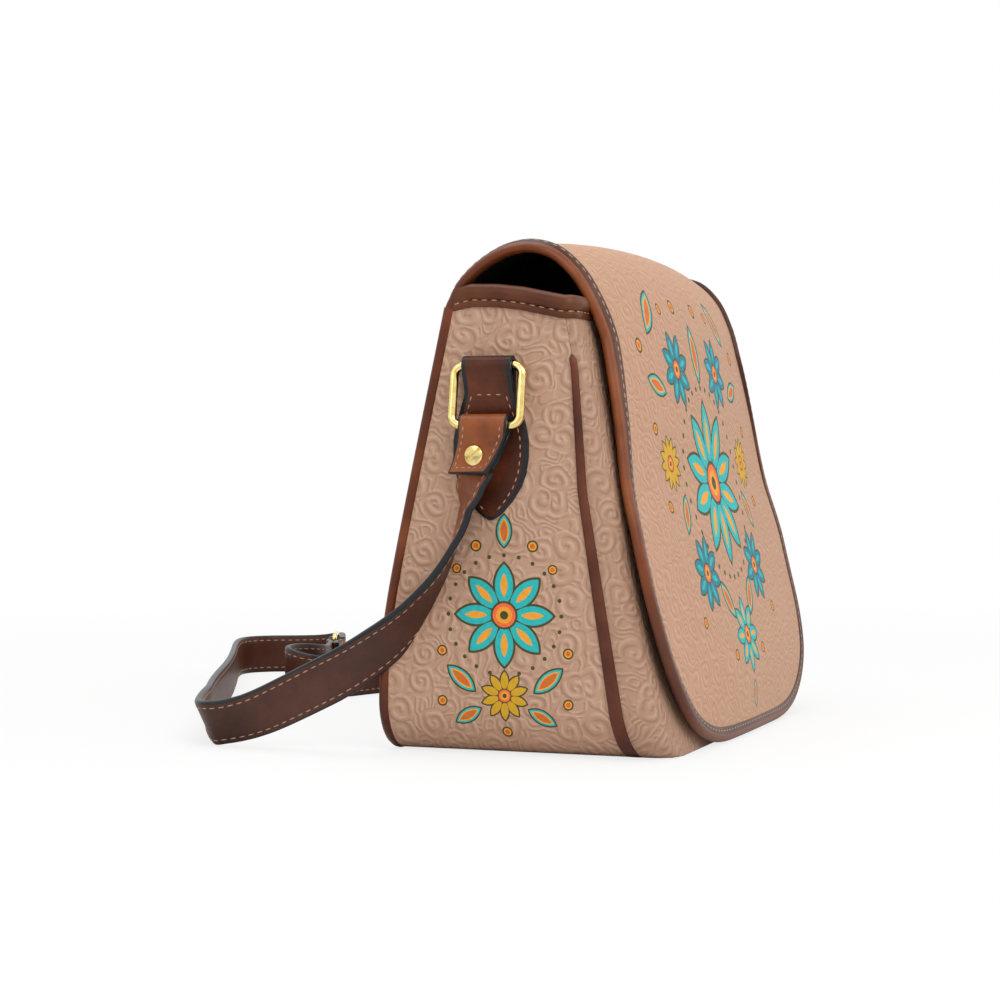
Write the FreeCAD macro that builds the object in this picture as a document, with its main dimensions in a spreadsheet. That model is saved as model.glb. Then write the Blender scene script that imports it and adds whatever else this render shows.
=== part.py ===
import FreeCAD, Part
import math
import os
import re
import Sketcher

# A saddle handbag in millimetres. X runs across the bag, the front faces -Y and +Z is up.
# The origin is the middle of the base, on the surface that the bag stands on.

Vector = FreeCAD.Vector
Rotation = FreeCAD.Rotation
Placement = FreeCAD.Placement

os.makedirs("parts", exist_ok=True)
doc = FreeCAD.newDocument("saddle_handbag")
sizes = doc.addObject("Spreadsheet::Sheet", "sizes")

SIZES = {
    # Outside of the bag: its width, and its side profile from the base to the mouth
    "bag_width": 268,
    "mouth_height": 193,
    "base_rear": 58.5,
    "belly_height": 45,
    "rear_top": 26,
    "base_front": 71,
    "waist_height": 115,
    "waist_front": 47,
    "mouth_front": 31,
    "corner_radius": 30,
    "leather": 2.4,
    # Rolled binding round the back panel
    "back_binding_width": 9,
    "back_binding_depth": 5.5,
    "back_panel_recess": 1.6,
    # Lining bag and the board under it
    "lining_gap": 0.4,
    "lining_wall": 0.8,
    "board_thickness": 2,
    "board_margin": 1,
    # Bands folded over the rim of the mouth
    "band_height": 11,
    "band_wall": 1.2,
    # Tapered strips along the front side seams
    "piping_top": 168,
    "piping_top_width": 2.8,
    "piping_foot_width": 6.2,
    "piping_proud": 1.6,
    "piping_wrap": 75,
    "piping_foot_setback": 14.5,
    "piping_setback": 11.3,
    "piping_top_setback": 4.5,
    # Tabs that hold the rings
    "tab_place": 6,
    "tab_width": 22.5,
    "tab_leather": 2,
    "tab_stitch_drop": 12,
    "loop_clearance": 0.35,
    "loop_neck": 9,
    "patch_width": 35,
    "patch_top_drop": 18,
    "patch_side_drop": 40,
    "patch_tip_drop": 67,
    "patch_curve": 48,
    # Rings
    "ring_bar": 3.8,
    "ring_width": 35,
    "ring_height": 30,
    "ring_corner": 4.2,
    "ring_bar_height": 170,
    "ring_tilt": 9,
    # Strap, its folded ends and their screws
    "strap_width": 22,
    "strap_leather": 2.6,
    "fold_neck": 8,
    "fold_tail": 21,
    "end_root": 32,
    "screw_drop": 13,
    "screw_head": 9.5,
    "screw_head_height": 1.6,
    "screw_flange": 1,
    "screw_barrel": 4.6,
    "screw_hole": 5,
    "screw_slot": 1.1,
    "screw_slot_depth": 0.7,
    # Link between the two lengths of strap
    "link_bar": 2.6,
    "link_span": 20,
    "link_play": 0.9,
    "link_corner": 2,
    "link_floor_gap": 0.2,
    "link_root": 24,
    # Flap: its profile over the mouth and down the front, and its edge
    "flap_width": 260,
    "hinge_height": 196,
    "hinge_gap": 0.3,
    "crest_front": 10,
    "crest_rise": 26,
    "arch_rear_rise": 5.8,
    "arch_front_rise": 9.5,
    "shoulder_front": 50.5,
    "shoulder_drop": 15,
    "shoulder_lean": 15,
    "flap_standoff": 11,
    "tip_height": 1,
    "flap_corner": 95,
    "flap_binding_width": 7.5,
    "flap_binding_depth": 5.5,
    "flap_panel_recess": 0.8,
    "flap_leather": 2.2,
    "flap_lining_wall": 1,
    # Magnetic snap
    "snap_height": 60,
    "snap_diameter": 18,
    "socket_depth": 3,
    "snap_clearance": 0.6,
    "socket_recess": 10,
    "socket_recess_depth": 1.4,
    "stud_nose": 5,
    "stud_nose_height": 0.7,
}
for row, (alias, number) in enumerate(SIZES.items(), start=1):
    sizes.set(f"A{row}", alias)
    sizes.set(f"B{row}", str(number))
    sizes.setAlias(f"B{row}", alias)
doc.recompute()


def cells(expression):
    """The same expression with each size's name written as its cell in the sheet."""
    return re.sub(r"[a-z_]+", lambda word: "sizes." + word[0] if word[0] in SIZES else word[0], expression)


def value(expression):
    return float(sizes.evalExpression(cells(expression)))


def bind(thing, name, expression):
    thing.setExpression(name, cells(expression))


# Drawing helpers: an outline is a list of corners (across, up), and a corner may add
# "left" or "right" and a radius where the edge that leaves it is an arc turning that way.

def arc_between(start, end, turn, radius):
    chord = end - start
    to_left = Vector(-chord.y, chord.x, 0).normalize()
    rise = math.sqrt(max(radius ** 2 - (chord.Length / 2) ** 2, 0))
    side = 1 if turn == "left" else -1
    centre = (start + end) * 0.5 + to_left * rise * side
    first, last = (start, end) if turn == "left" else (end, start)
    first_angle = math.atan2(first.y - centre.y, first.x - centre.x)
    last_angle = math.atan2(last.y - centre.y, last.x - centre.x)
    if last_angle < first_angle:
        last_angle += 2 * math.pi
    return Part.ArcOfCircle(Part.Circle(centre, Vector(0, 0, 1), radius), first_angle, last_angle)


def draw(sketch, corners):
    """Draw one closed outline whose corners and radii are bound to the sheet."""
    spots = [Vector(value(corner[0]), value(corner[1]), 0) for corner in corners]
    edges = []
    for index, corner in enumerate(corners):
        start = spots[index]
        end = spots[(index + 1) % len(spots)]
        if len(corner) == 4:
            radius = value(corner[3])
            edge = sketch.addGeometry(arc_between(start, end, corner[2], radius))
            limit = sketch.addConstraint(Sketcher.Constraint("Radius", edge, radius))
            bind(sketch, f"Constraints[{limit}]", corner[3])
            edges.append((edge, 1, 2) if corner[2] == "left" else (edge, 2, 1))
        else:
            edges.append((sketch.addGeometry(Part.LineSegment(start, end)), 1, 2))
    for index, (edge, tail, head) in enumerate(edges):
        after, after_tail, _ = edges[(index + 1) % len(edges)]
        sketch.addConstraint(Sketcher.Constraint("Coincident", edge, head, after, after_tail))
        for direction, number in (("DistanceX", 0), ("DistanceY", 1)):
            distance = spots[index][number]
            limit = sketch.addConstraint(Sketcher.Constraint(direction, -1, 1, edge, tail, distance))
            bind(sketch, f"Constraints[{limit}]", corners[index][number])


def new_body(name):
    body = doc.addObject("PartDesign::Body", name)
    body.Label = name
    return body


def sketch_on(body, role, *outlines, shift=None):
    """A sketch on one of the body's own planes, or that plane shifted along its normal."""
    sketch = body.newObject("Sketcher::SketchObject", "sketch")
    plane = [feature for feature in body.Origin.OriginFeatures if feature.Role == role][0]
    sketch.AttachmentSupport = (plane, [""])
    sketch.MapMode = "FlatFace"
    if shift:
        bind(sketch, "AttachmentOffset.Base.z", shift)
    for outline in outlines:
        draw(sketch, outline)
    return sketch


def pad(body, sketch, length, one_way=None):
    feature = body.newObject("PartDesign::Pad", "pad")
    feature.Profile = sketch
    feature.SideType = "One side" if one_way else "Symmetric"
    feature.Reversed = one_way == "back"
    bind(feature, "Length", length)


def pocket(body, sketch):
    feature = body.newObject("PartDesign::Pocket", "pocket")
    feature.Profile = sketch
    feature.SideType = "Symmetric"
    feature.Type = "ThroughAll"


def revolve(body, sketch):
    feature = body.newObject("PartDesign::Revolution", "revolution")
    feature.Profile = sketch
    feature.ReferenceAxis = (sketch, ["H_Axis"])
    feature.Angle = 360


def mirrored(source, name):
    copy = doc.addObject("Part::Mirroring", name)
    copy.Label = name
    copy.Source = source
    copy.Normal = Vector(1, 0, 0)
    return copy


# Side profile of the bag: the front and rear lines at an inset from the outer faces.

HALF = "bag_width / 2"
TOP = "(mouth_height + hinge_height)"
BELOW = "-corner_radius"
REACH = "(base_rear + base_front)"


def front_line(inset):
    return [
        (f"-base_front + {inset}", BELOW),
        (f"-base_front + {inset}", "0"),
        (f"-waist_front + {inset}", "waist_height"),
        (f"-mouth_front + {inset}", "mouth_height"),
        (f"-mouth_front + {inset}", TOP),
    ]


def rear_line(inset):
    return [
        (f"base_rear - ({inset})", BELOW),
        (f"base_rear - ({inset})", "belly_height"),
        (f"rear_top - ({inset})", "hinge_height"),
        (f"rear_top - ({inset})", TOP),
    ]


def panel(name, outline, from_line, to_line):
    """A wall with an outline seen from the front, kept between two lines of the side profile."""
    body = new_body(name)
    pad(body, sketch_on(body, "XZ_Plane", outline), f"2 * {REACH}")
    before = from_line + [(f"-{REACH}", TOP), (f"-{REACH}", BELOW)]
    after = to_line + [(REACH, TOP), (REACH, BELOW)]
    pocket(body, sketch_on(body, "YZ_Plane", before, after))
    return body


def u_outline(inset, foot, top):
    """Front view of a panel with rounded lower corners."""
    side = f"({HALF} - ({inset}))"
    radius = f"(corner_radius - ({inset}))"
    return [
        (f"-{side}", top),
        (f"-{side}", f"{foot} + {radius}", "left", radius),
        (f"-{side} + {radius}", foot),
        (f"{side} - {radius}", foot, "left", radius),
        (side, f"{foot} + {radius}"),
        (side, top),
    ]


FLAT = f"({HALF} - corner_radius)"

# Back panel, inside a rolled binding that runs down both sides and under the foot.
BACK_PANEL_DEPTH = "back_panel_recess + leather"
back_panel = panel(
    "back_panel",
    u_outline("back_binding_width", "back_binding_width", "hinge_height"),
    rear_line(BACK_PANEL_DEPTH),
    rear_line("back_panel_recess"),
)
outer = u_outline("0", "0", "hinge_height")
INNER_SIDE = f"({HALF} - back_binding_width)"
INNER_RADIUS = "(corner_radius - back_binding_width)"
inner = [
    (INNER_SIDE, "hinge_height"),
    (INNER_SIDE, "corner_radius", "right", INNER_RADIUS),
    (FLAT, "back_binding_width"),
    (f"-{FLAT}", "back_binding_width", "right", INNER_RADIUS),
    (f"-{INNER_SIDE}", "corner_radius"),
    (f"-{INNER_SIDE}", "hinge_height"),
]
back_binding = panel("back_binding", outer + inner, rear_line("back_binding_depth"), rear_line("0"))

# Front panel, closing the front edges of the gussets and the base.
front_outline = u_outline("0", "0", "mouth_height")
front_panel = panel("front_panel", front_outline, front_line("0"), front_line("leather"))

# Gussets, each a side that turns under at the foot, and the base panel between them.
gusset_outline = [
    (f"-{HALF}", "mouth_height"),
    (f"-{HALF}", "corner_radius", "left", "corner_radius"),
    (f"-{FLAT}", "0"),
    (f"-{FLAT}", "leather", "right", "corner_radius - leather"),
    (f"-({HALF} - leather)", "corner_radius"),
    (f"-({HALF} - leather)", "mouth_height"),
]
left_gusset = panel("left_gusset", gusset_outline, front_line("leather"), rear_line("back_binding_depth"))
right_gusset = mirrored(left_gusset, "right_gusset")


def plate_outline(low, high):
    return [(f"-{FLAT}", low), (FLAT, low), (FLAT, high), (f"-{FLAT}", high)]


base_panel = panel(
    "base_panel", plate_outline("0", "leather"), front_line("leather"), rear_line("back_binding_depth")
)

# Stiff board on the base panel, under the lining.
BOARD_TOP = "leather + board_thickness"
base_board = panel(
    "base_board",
    plate_outline("leather", BOARD_TOP),
    front_line("leather + board_margin"),
    rear_line("back_binding_depth + board_margin"),
)

# Lining bag, open at the top under the bands of the mouth.
LINING_TOP = "mouth_height - band_height - lining_gap"


def lining_core(name, depth, top):
    inset = f"leather + lining_gap + {depth}"
    return panel(
        name,
        u_outline(inset, f"({BOARD_TOP} + lining_gap + {depth})", top),
        front_line(inset),
        rear_line(f"back_binding_depth + lining_gap + {depth}"),
    )


lining = doc.addObject("Part::Cut", "lining")
lining.Label = "lining"
lining.Base = lining_core("lining_outside", "0", LINING_TOP)
lining.Tool = lining_core("lining_inside", "lining_wall", "mouth_height")

# Bands folded over the rim of the mouth: one on each gusset and one on the front panel.
BAND_FOOT = "mouth_height - band_height"
BAND_TOP = "mouth_height + band_wall"
band_outline = [
    (f"-({HALF} + band_wall)", BAND_FOOT),
    (f"-{HALF}", BAND_FOOT),
    (f"-{HALF}", "mouth_height"),
    (f"-({HALF} - leather)", "mouth_height"),
    (f"-({HALF} - leather)", BAND_FOOT),
    (f"-({HALF} - leather - band_wall)", BAND_FOOT),
    (f"-({HALF} - leather - band_wall)", BAND_TOP),
    (f"-({HALF} + band_wall)", BAND_TOP),
]
left_mouth_band = panel(
    "left_mouth_band",
    band_outline,
    front_line("leather + band_wall + lining_gap"),
    rear_line("back_binding_depth"),
)
right_mouth_band = mirrored(left_mouth_band, "right_mouth_band")

UPPER_SLOPE = "((waist_front - mouth_front) / (mouth_height - waist_height))"
BAND_FOOT_FRONT = f"(mouth_front + {UPPER_SLOPE} * band_height)"
front_mouth_band = new_body("front_mouth_band")
front_band_outline = [
    (f"-{BAND_FOOT_FRONT} - band_wall", BAND_FOOT),
    (f"-{BAND_FOOT_FRONT}", BAND_FOOT),
    ("-mouth_front", "mouth_height"),
    ("-mouth_front + leather", "mouth_height"),
    (f"-{BAND_FOOT_FRONT} + leather", BAND_FOOT),
    (f"-{BAND_FOOT_FRONT} + leather + band_wall", BAND_FOOT),
    ("-mouth_front + leather + band_wall", BAND_TOP),
    ("-mouth_front - band_wall", BAND_TOP),
]
front_band_sketch = sketch_on(front_mouth_band, "YZ_Plane", front_band_outline)
pad(front_mouth_band, front_band_sketch, "bag_width - 2 * leather")

# Tapered strips that cover the front side seams and fade out round the lower corners.
PIPING_TOP_FRONT = f"(mouth_front + {UPPER_SLOPE} * (mouth_height - piping_top) - piping_top_setback)"
PIPING_END_SIDE = f"({FLAT} + corner_radius * cos(piping_wrap))"
PIPING_END_HEIGHT = "corner_radius * (1 - sin(piping_wrap))"
piping_outline = [
    (f"-({HALF} + piping_proud)", "piping_top"),
    (f"-({HALF} + piping_proud)", "corner_radius", "left", "corner_radius + piping_proud / 2"),
    (f"-{PIPING_END_SIDE}", PIPING_END_HEIGHT, "right", "corner_radius"),
    (f"-{HALF}", "corner_radius"),
    (f"-{HALF}", "piping_top"),
]


def piping_line(side):
    mean_width = "(piping_top_width + piping_foot_width) / 2"
    return [
        (f"-base_front + piping_foot_setback {side} piping_foot_width / 2", BELOW),
        (f"-base_front + piping_foot_setback {side} piping_foot_width / 2", "0"),
        (f"-waist_front + piping_setback {side} {mean_width} / 2", "waist_height"),
        (f"-{PIPING_TOP_FRONT} {side} piping_top_width / 2", "piping_top"),
        (f"-{PIPING_TOP_FRONT} {side} piping_top_width / 2", TOP),
    ]


left_front_piping = panel("left_front_piping", piping_outline, piping_line("-"), piping_line("+"))
right_front_piping = mirrored(left_front_piping, "right_front_piping")

# Tabs: a strip folded over the ring's top bar and stitched, on a shield-shaped patch.
RING_X = f"-({HALF} + tab_leather + loop_clearance + ring_bar / 2)"
LOOP_INSIDE = "(ring_bar / 2 + loop_clearance)"
LOOP_OUTSIDE = f"({LOOP_INSIDE} + tab_leather)"
loop_outline = [
    (f"-{HALF}", "ring_bar_height - tab_stitch_drop"),
    (f"-{HALF}", "ring_bar_height", "left", LOOP_OUTSIDE),
    (RING_X, f"ring_bar_height + {LOOP_OUTSIDE}", "left", LOOP_OUTSIDE),
    (f"{RING_X} - {LOOP_OUTSIDE}", "ring_bar_height"),
    (f"{RING_X} - {LOOP_OUTSIDE}", f"ring_bar_height - {LOOP_INSIDE}"),
    (f"-({HALF} + 2 * tab_leather)", "ring_bar_height - tab_stitch_drop"),
]
loop_hollow = [
    (f"{RING_X} + {LOOP_INSIDE}", "ring_bar_height", "left", LOOP_INSIDE),
    (RING_X, f"ring_bar_height + {LOOP_INSIDE}", "left", LOOP_INSIDE),
    (f"{RING_X} - {LOOP_INSIDE}", "ring_bar_height"),
    (f"{RING_X} - {LOOP_INSIDE}", f"ring_bar_height - {LOOP_INSIDE}"),
    (f"{RING_X} + {LOOP_INSIDE}", "ring_bar_height - loop_neck"),
]
patch_outline = [
    ("tab_place - tab_width / 2", "ring_bar_height - loop_neck"),
    ("tab_place - patch_width / 2", "ring_bar_height - patch_top_drop"),
    ("tab_place - patch_width / 2", "ring_bar_height - patch_side_drop", "left", "patch_curve"),
    ("tab_place", "ring_bar_height - patch_tip_drop", "left", "patch_curve"),
    ("tab_place + patch_width / 2", "ring_bar_height - patch_side_drop"),
    ("tab_place + patch_width / 2", "ring_bar_height - patch_top_drop"),
    ("tab_place + tab_width / 2", "ring_bar_height - loop_neck"),
]
left_anchor_tab = new_body("left_anchor_tab")
loop_sketch = sketch_on(left_anchor_tab, "XZ_Plane", loop_outline, loop_hollow, shift="-tab_place")
pad(left_anchor_tab, loop_sketch, "tab_width")
patch_sketch = sketch_on(left_anchor_tab, "YZ_Plane", patch_outline, shift=f"-{HALF}")
pad(left_anchor_tab, patch_sketch, "tab_leather", one_way="back")
right_anchor_tab = mirrored(left_anchor_tab, "right_anchor_tab")


def bar_loop(name, bar, width, height, corner, top):
    """A rounded rectangle of round bar in the YZ plane, with its upper bar at a height."""
    body = new_body(name)
    half = f"({width} - {bar}) / 2"
    foot = f"{top} - ({height} - {bar})"
    centre_line = [
        (f"{half} - {corner}", top),
        (f"-({half} - {corner})", top, "left", corner),
        (f"-({half})", f"{top} - {corner}"),
        (f"-({half})", f"{foot} + {corner}", "left", corner),
        (f"-({half} - {corner})", foot),
        (f"{half} - {corner}", foot, "left", corner),
        (half, f"{foot} + {corner}"),
        (half, f"{top} - {corner}", "left", corner),
    ]
    path = sketch_on(body, "YZ_Plane", centre_line)
    section = sketch_on(body, "XZ_Plane", shift=f"-({half} - {corner})")
    circle = section.addGeometry(Part.Circle(Vector(0, value(top), 0), Vector(0, 0, 1), value(bar) / 2))
    for kind, place, expression in (("DistanceX", 0, "0"), ("DistanceY", value(top), top)):
        limit = section.addConstraint(Sketcher.Constraint(kind, -1, 1, circle, 3, place))
        bind(section, f"Constraints[{limit}]", expression)
    limit = section.addConstraint(Sketcher.Constraint("Radius", circle, value(bar) / 2))
    bind(section, f"Constraints[{limit}]", f"{bar} / 2")
    pipe = body.newObject("PartDesign::AdditivePipe", "pipe")
    pipe.Profile = section
    pipe.Spine = path
    return body


# Rings, hung in the loops of the tabs and tilted out by the strap ends behind their lower bars.
left_ring = bar_loop("left_ring", "ring_bar", "ring_width", "ring_height", "ring_corner", "0")
left_ring.Placement.Rotation = Rotation(Vector(0, 1, 0), value("ring_tilt"))
bind(left_ring, "Placement.Base.x", RING_X)
bind(left_ring, "Placement.Base.y", "tab_place")
bind(left_ring, "Placement.Base.z", "ring_bar_height")
bind(left_ring, "Placement.Rotation.Angle", "ring_tilt")
right_ring = mirrored(left_ring, "right_ring")

RING_DROP = "(ring_height - ring_bar)"
END_X = f"({RING_X} - {RING_DROP} * sin(ring_tilt))"
END_HEIGHT = f"(ring_bar_height - {RING_DROP} * cos(ring_tilt))"


def strap_fold(name, bar, root):
    """A strap's end turned over a bar at the origin and screwed to itself, hanging down."""
    body = new_body(name)
    inside = f"({bar} / 2 + loop_clearance)"
    outside = f"({inside} + strap_leather)"
    outline = [
        ("strap_leather", f"-{root}"),
        ("strap_leather", "-fold_neck"),
        (outside, "0", "left", outside),
        ("0", outside, "left", outside),
        (f"-{outside}", "0"),
        ("-strap_leather", "-fold_neck"),
        ("-strap_leather", "-fold_tail"),
        ("0", "-fold_tail"),
        ("0", f"-{root}"),
    ]
    hollow = [
        (inside, "0", "left", inside),
        ("0", inside, "left", inside),
        (f"-{inside}", "0"),
        ("0", "-fold_neck"),
    ]
    pad(body, sketch_on(body, "XZ_Plane", outline, hollow), "strap_width")
    hole = sketch_on(body, "YZ_Plane")
    drop = -value("screw_drop")
    circle = hole.addGeometry(Part.Circle(Vector(0, drop, 0), Vector(0, 0, 1), value("screw_hole") / 2))
    for kind, place, expression in (("DistanceX", 0, "0"), ("DistanceY", drop, "-screw_drop")):
        limit = hole.addConstraint(Sketcher.Constraint(kind, -1, 1, circle, 3, place))
        bind(hole, f"Constraints[{limit}]", expression)
    limit = hole.addConstraint(Sketcher.Constraint("Radius", circle, value("screw_hole") / 2))
    bind(hole, f"Constraints[{limit}]", "screw_hole / 2")
    pocket(body, hole)
    return body


def strap_screw(name):
    """A slotted two-part screw across X at the origin, clamping two layers of strap."""
    body = new_body(name)
    crown = "(screw_head_height / 2)"
    outline = [
        ("strap_leather + screw_flange", "0"),
        ("strap_leather + screw_flange", "screw_head / 2"),
        ("strap_leather", "screw_head / 2"),
        ("strap_leather", "screw_barrel / 2"),
        ("-strap_leather", "screw_barrel / 2"),
        ("-strap_leather", "screw_head / 2"),
        (f"-strap_leather - {crown}", "screw_head / 2"),
        ("-strap_leather - screw_head_height", f"screw_head / 2 - {crown}"),
        ("-strap_leather - screw_head_height", "0"),
    ]
    revolve(body, sketch_on(body, "XZ_Plane", outline))
    slot = [
        ("-strap_leather - 2 * screw_head_height", "-screw_slot / 2"),
        ("-strap_leather - screw_head_height + screw_slot_depth", "-screw_slot / 2"),
        ("-strap_leather - screw_head_height + screw_slot_depth", "screw_slot / 2"),
        ("-strap_leather - 2 * screw_head_height", "screw_slot / 2"),
    ]
    pocket(body, sketch_on(body, "XZ_Plane", slot))
    return body


# Strap ends, folded over the rings' lower bars, and the screws that close the folds.
left_strap_end = strap_fold("left_strap_end", "ring_bar", "end_root")
left_strap_screw = strap_screw("left_strap_screw")
for piece, height in ((left_strap_end, END_HEIGHT), (left_strap_screw, f"{END_HEIGHT} - screw_drop")):
    bind(piece, "Placement.Base.x", END_X)
    bind(piece, "Placement.Base.y", "tab_place")
    bind(piece, "Placement.Base.z", height)
right_strap_end = mirrored(left_strap_end, "right_strap_end")
right_strap_screw = mirrored(left_strap_screw, "right_strap_screw")

# Flap: its profile is an arch over the mouth, then a run down to the waist and one along the front.
# The profile is given at a depth under the outer face, so that its layers lie on each other.
FLAP_START = "(hinge_height + hinge_gap)"
LOWER_SLOPE = "((base_front - waist_front) / waist_height)"


def flap_layer(outer_depth, inner_depth):
    def spots(depth):
        start = (f"(rear_top - ({depth}))", FLAP_START)
        crest = ("-crest_front", f"(hinge_height + crest_rise - ({depth}))")
        shoulder = (
            f"(-shoulder_front + ({depth}) * cos(shoulder_lean))",
            f"(mouth_height - shoulder_drop - ({depth}) * sin(shoulder_lean))",
        )
        waist = (f"-waist_front - flap_standoff + {depth}", "waist_height")
        tip = (f"-base_front - flap_standoff + {depth} + {LOWER_SLOPE} * tip_height", "tip_height")
        return start, crest, shoulder, waist, tip

    def arch(first, last, rise):
        """The radius of an arc that rises over the straight line between two spots."""
        chord = f"(({first[0]} - {last[0]})^2 + ({first[1]} - {last[1]})^2)"
        return f"{chord} / (8 * {rise}) + {rise} / 2"

    start, crest, shoulder, waist, tip = spots(outer_depth)
    outward = [
        start + ("left", arch(start, crest, "arch_rear_rise")),
        crest + ("left", arch(crest, shoulder, "arch_front_rise")),
        shoulder,
        waist,
        tip,
    ]
    start, crest, shoulder, waist, tip = spots(inner_depth)
    homeward = [
        tip,
        waist,
        shoulder + ("right", arch(crest, shoulder, "arch_front_rise")),
        crest + ("right", arch(start, crest, "arch_rear_rise")),
        start,
    ]
    return outward + homeward


def flap_edge(inset):
    """The rounded foot of the flap at an inset from its edge, from the right side to the left."""
    side = f"(flap_width / 2 - {inset})"
    radius = f"(flap_corner - {inset})"
    flat = "(flap_width / 2 - flap_corner)"
    return [
        (side, "tip_height + flap_corner", "right", radius),
        (flat, f"tip_height + {inset}"),
        (f"-{flat}", f"tip_height + {inset}", "right", radius),
        (f"-{side}", "tip_height + flap_corner"),
    ]


def outside_of(inset):
    """All that lies beyond the rounded foot, as an outline to cut away."""
    return flap_edge(inset) + [
        ("-flap_width", "tip_height + flap_corner"),
        ("-flap_width", BELOW),
        ("flap_width", BELOW),
        ("flap_width", "tip_height + flap_corner"),
    ]


def flap_sheet(name, outer_depth, inner_depth):
    body = new_body(name)
    layer = sketch_on(body, "YZ_Plane", flap_layer(outer_depth, inner_depth))
    pad(body, layer, "flap_width - 2 * flap_binding_width")
    pocket(body, sketch_on(body, "XZ_Plane", outside_of("flap_binding_width")))
    return body


PANEL_DEPTH = "flap_panel_recess + flap_leather"
FLAP_DEPTH = f"{PANEL_DEPTH} + flap_lining_wall"
flap_panel = flap_sheet("flap_panel", "flap_panel_recess", PANEL_DEPTH)
flap_lining = flap_sheet("flap_lining", PANEL_DEPTH, FLAP_DEPTH)

# Rolled binding round the flap's edge, from the hinge down one side, round the foot and up again.
flap_binding = new_body("flap_binding")
pad(flap_binding, sketch_on(flap_binding, "YZ_Plane", flap_layer("0", "flap_binding_depth")), "flap_width")
pocket(flap_binding, sketch_on(flap_binding, "XZ_Plane", outside_of("0")))
FLAP_INSIDE = "(flap_width / 2 - flap_binding_width)"
window = flap_edge("flap_binding_width") + [
    (f"-{FLAP_INSIDE}", TOP),
    (FLAP_INSIDE, TOP),
]
pocket(flap_binding, sketch_on(flap_binding, "XZ_Plane", window))

# Magnetic snap: a socket on the front panel and a stud under the flap, face to face.
FRONT_LEAN = f"atan({LOWER_SLOPE})"
FRONT_AT_SNAP = f"(base_front - {LOWER_SLOPE} * snap_height)"
FLAP_AT_SNAP = f"({FRONT_AT_SNAP} + flap_standoff - ({FLAP_DEPTH}))"
STUD_DEPTH = f"((flap_standoff - ({FLAP_DEPTH})) * cos({FRONT_LEAN}) - socket_depth - snap_clearance)"

snap_socket = new_body("snap_socket")
socket_outline = [
    ("0", "0"),
    ("0", "snap_diameter / 2"),
    ("-socket_depth", "snap_diameter / 2"),
    ("-socket_depth", "socket_recess / 2"),
    ("-socket_depth + socket_recess_depth", "socket_recess / 2"),
    ("-socket_depth + socket_recess_depth", "0"),
]
revolve(snap_socket, sketch_on(snap_socket, "YZ_Plane", socket_outline))
bind(snap_socket, "Placement.Base.y", f"-{FRONT_AT_SNAP}")
bind(snap_socket, "Placement.Base.z", "snap_height")
snap_socket.Placement.Rotation = Rotation(Vector(1, 0, 0), -value(FRONT_LEAN))

snap_stud = new_body("snap_stud")
stud_outline = [
    ("0", "0"),
    ("0", "snap_diameter / 2"),
    (STUD_DEPTH, "snap_diameter / 2"),
    (STUD_DEPTH, "stud_nose / 2"),
    (f"{STUD_DEPTH} + stud_nose_height", "stud_nose / 2"),
    (f"{STUD_DEPTH} + stud_nose_height", "0"),
]
revolve(snap_stud, sketch_on(snap_stud, "YZ_Plane", stud_outline))
bind(snap_stud, "Placement.Base.y", f"-{FLAP_AT_SNAP}")
bind(snap_stud, "Placement.Base.z", "snap_height")
snap_stud.Placement.Rotation = Rotation(Vector(1, 0, 0), -value(FRONT_LEAN))

# Link between the two lengths of strap, standing on the floor behind the bag.
LINK_HEIGHT = "(strap_width + 2 * link_play + 2 * link_bar)"
LINK_MIDDLE = f"({LINK_HEIGHT} / 2 + link_floor_gap)"
link_place = Vector(145, 206, value(LINK_MIDDLE))
link_heading = Vector(-0.94, -0.34, 0).normalize()
up = Vector(0, 0, 1)
strap_link = bar_loop(
    "strap_link",
    "link_bar",
    "link_span + link_bar",
    LINK_HEIGHT,
    "link_corner",
    f"({LINK_HEIGHT} - link_bar) / 2",
)
strap_link.Placement = Placement(link_place, Rotation(link_heading.cross(up), link_heading, up, "ZXY"))


def at_link(piece, side, slide):
    """Place a fold or screw at the link's bar that comes before (-1) or after (1) the link."""
    along = link_heading * -side
    across = up.cross(along)
    bar = link_place + link_heading * side * value("link_span") / 2
    piece.Placement = Placement(bar - along * slide, Rotation(across, up, along, "ZXY"))
    root = bar - along * value("link_root") + across * value("strap_leather") / 2
    return root, along


long_fold = strap_fold("long_fold", "link_bar", "link_root")
short_fold = strap_fold("short_fold", "link_bar", "link_root")
long_root, long_way = at_link(long_fold, -1, 0)
short_root, short_way = at_link(short_fold, 1, 0)
long_screw = strap_screw("long_screw")
short_screw = strap_screw("short_screw")
at_link(long_screw, -1, value("screw_drop"))
at_link(short_screw, 1, value("screw_drop"))
link_screws = doc.addObject("Part::Compound", "link_screws")
link_screws.Label = "link_screws"
link_screws.Links = [long_screw, short_screw]

# Strap routes, from the rings to the link: down the bag's sides, then along the floor behind it,
# with the strap standing on its edge. Each point is chosen by hand; a point of a fall gives its
# place behind the ring and its share of the height between the strap end and the floor.
ON_EDGE = value("strap_width") / 2
side_x = -value(END_X) - value("strap_leather") / 2
root_height = value(END_HEIGHT) - value("end_root")
tab_y = value("tab_place")
approach = 16
long_fall = [(tab_y, 1), (tab_y, 0.89), (18, 0.7), (34, 0.51), (57, 0.34), (84, 0.18), (108, 0.065), (128, 0)]
long_floor = [
    (-side_x, 146, ON_EDGE),
    (-127, 156, ON_EDGE),
    (-98, 171, ON_EDGE),
    (-44, 194, ON_EDGE),
    (36, 226, ON_EDGE),
    (108, 259, ON_EDGE),
    (152, 279, ON_EDGE),
    (178, 286, ON_EDGE),
    (193, 275, ON_EDGE),
    (199, 256, ON_EDGE),
    (198, 238, ON_EDGE + 0.8),
]
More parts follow.
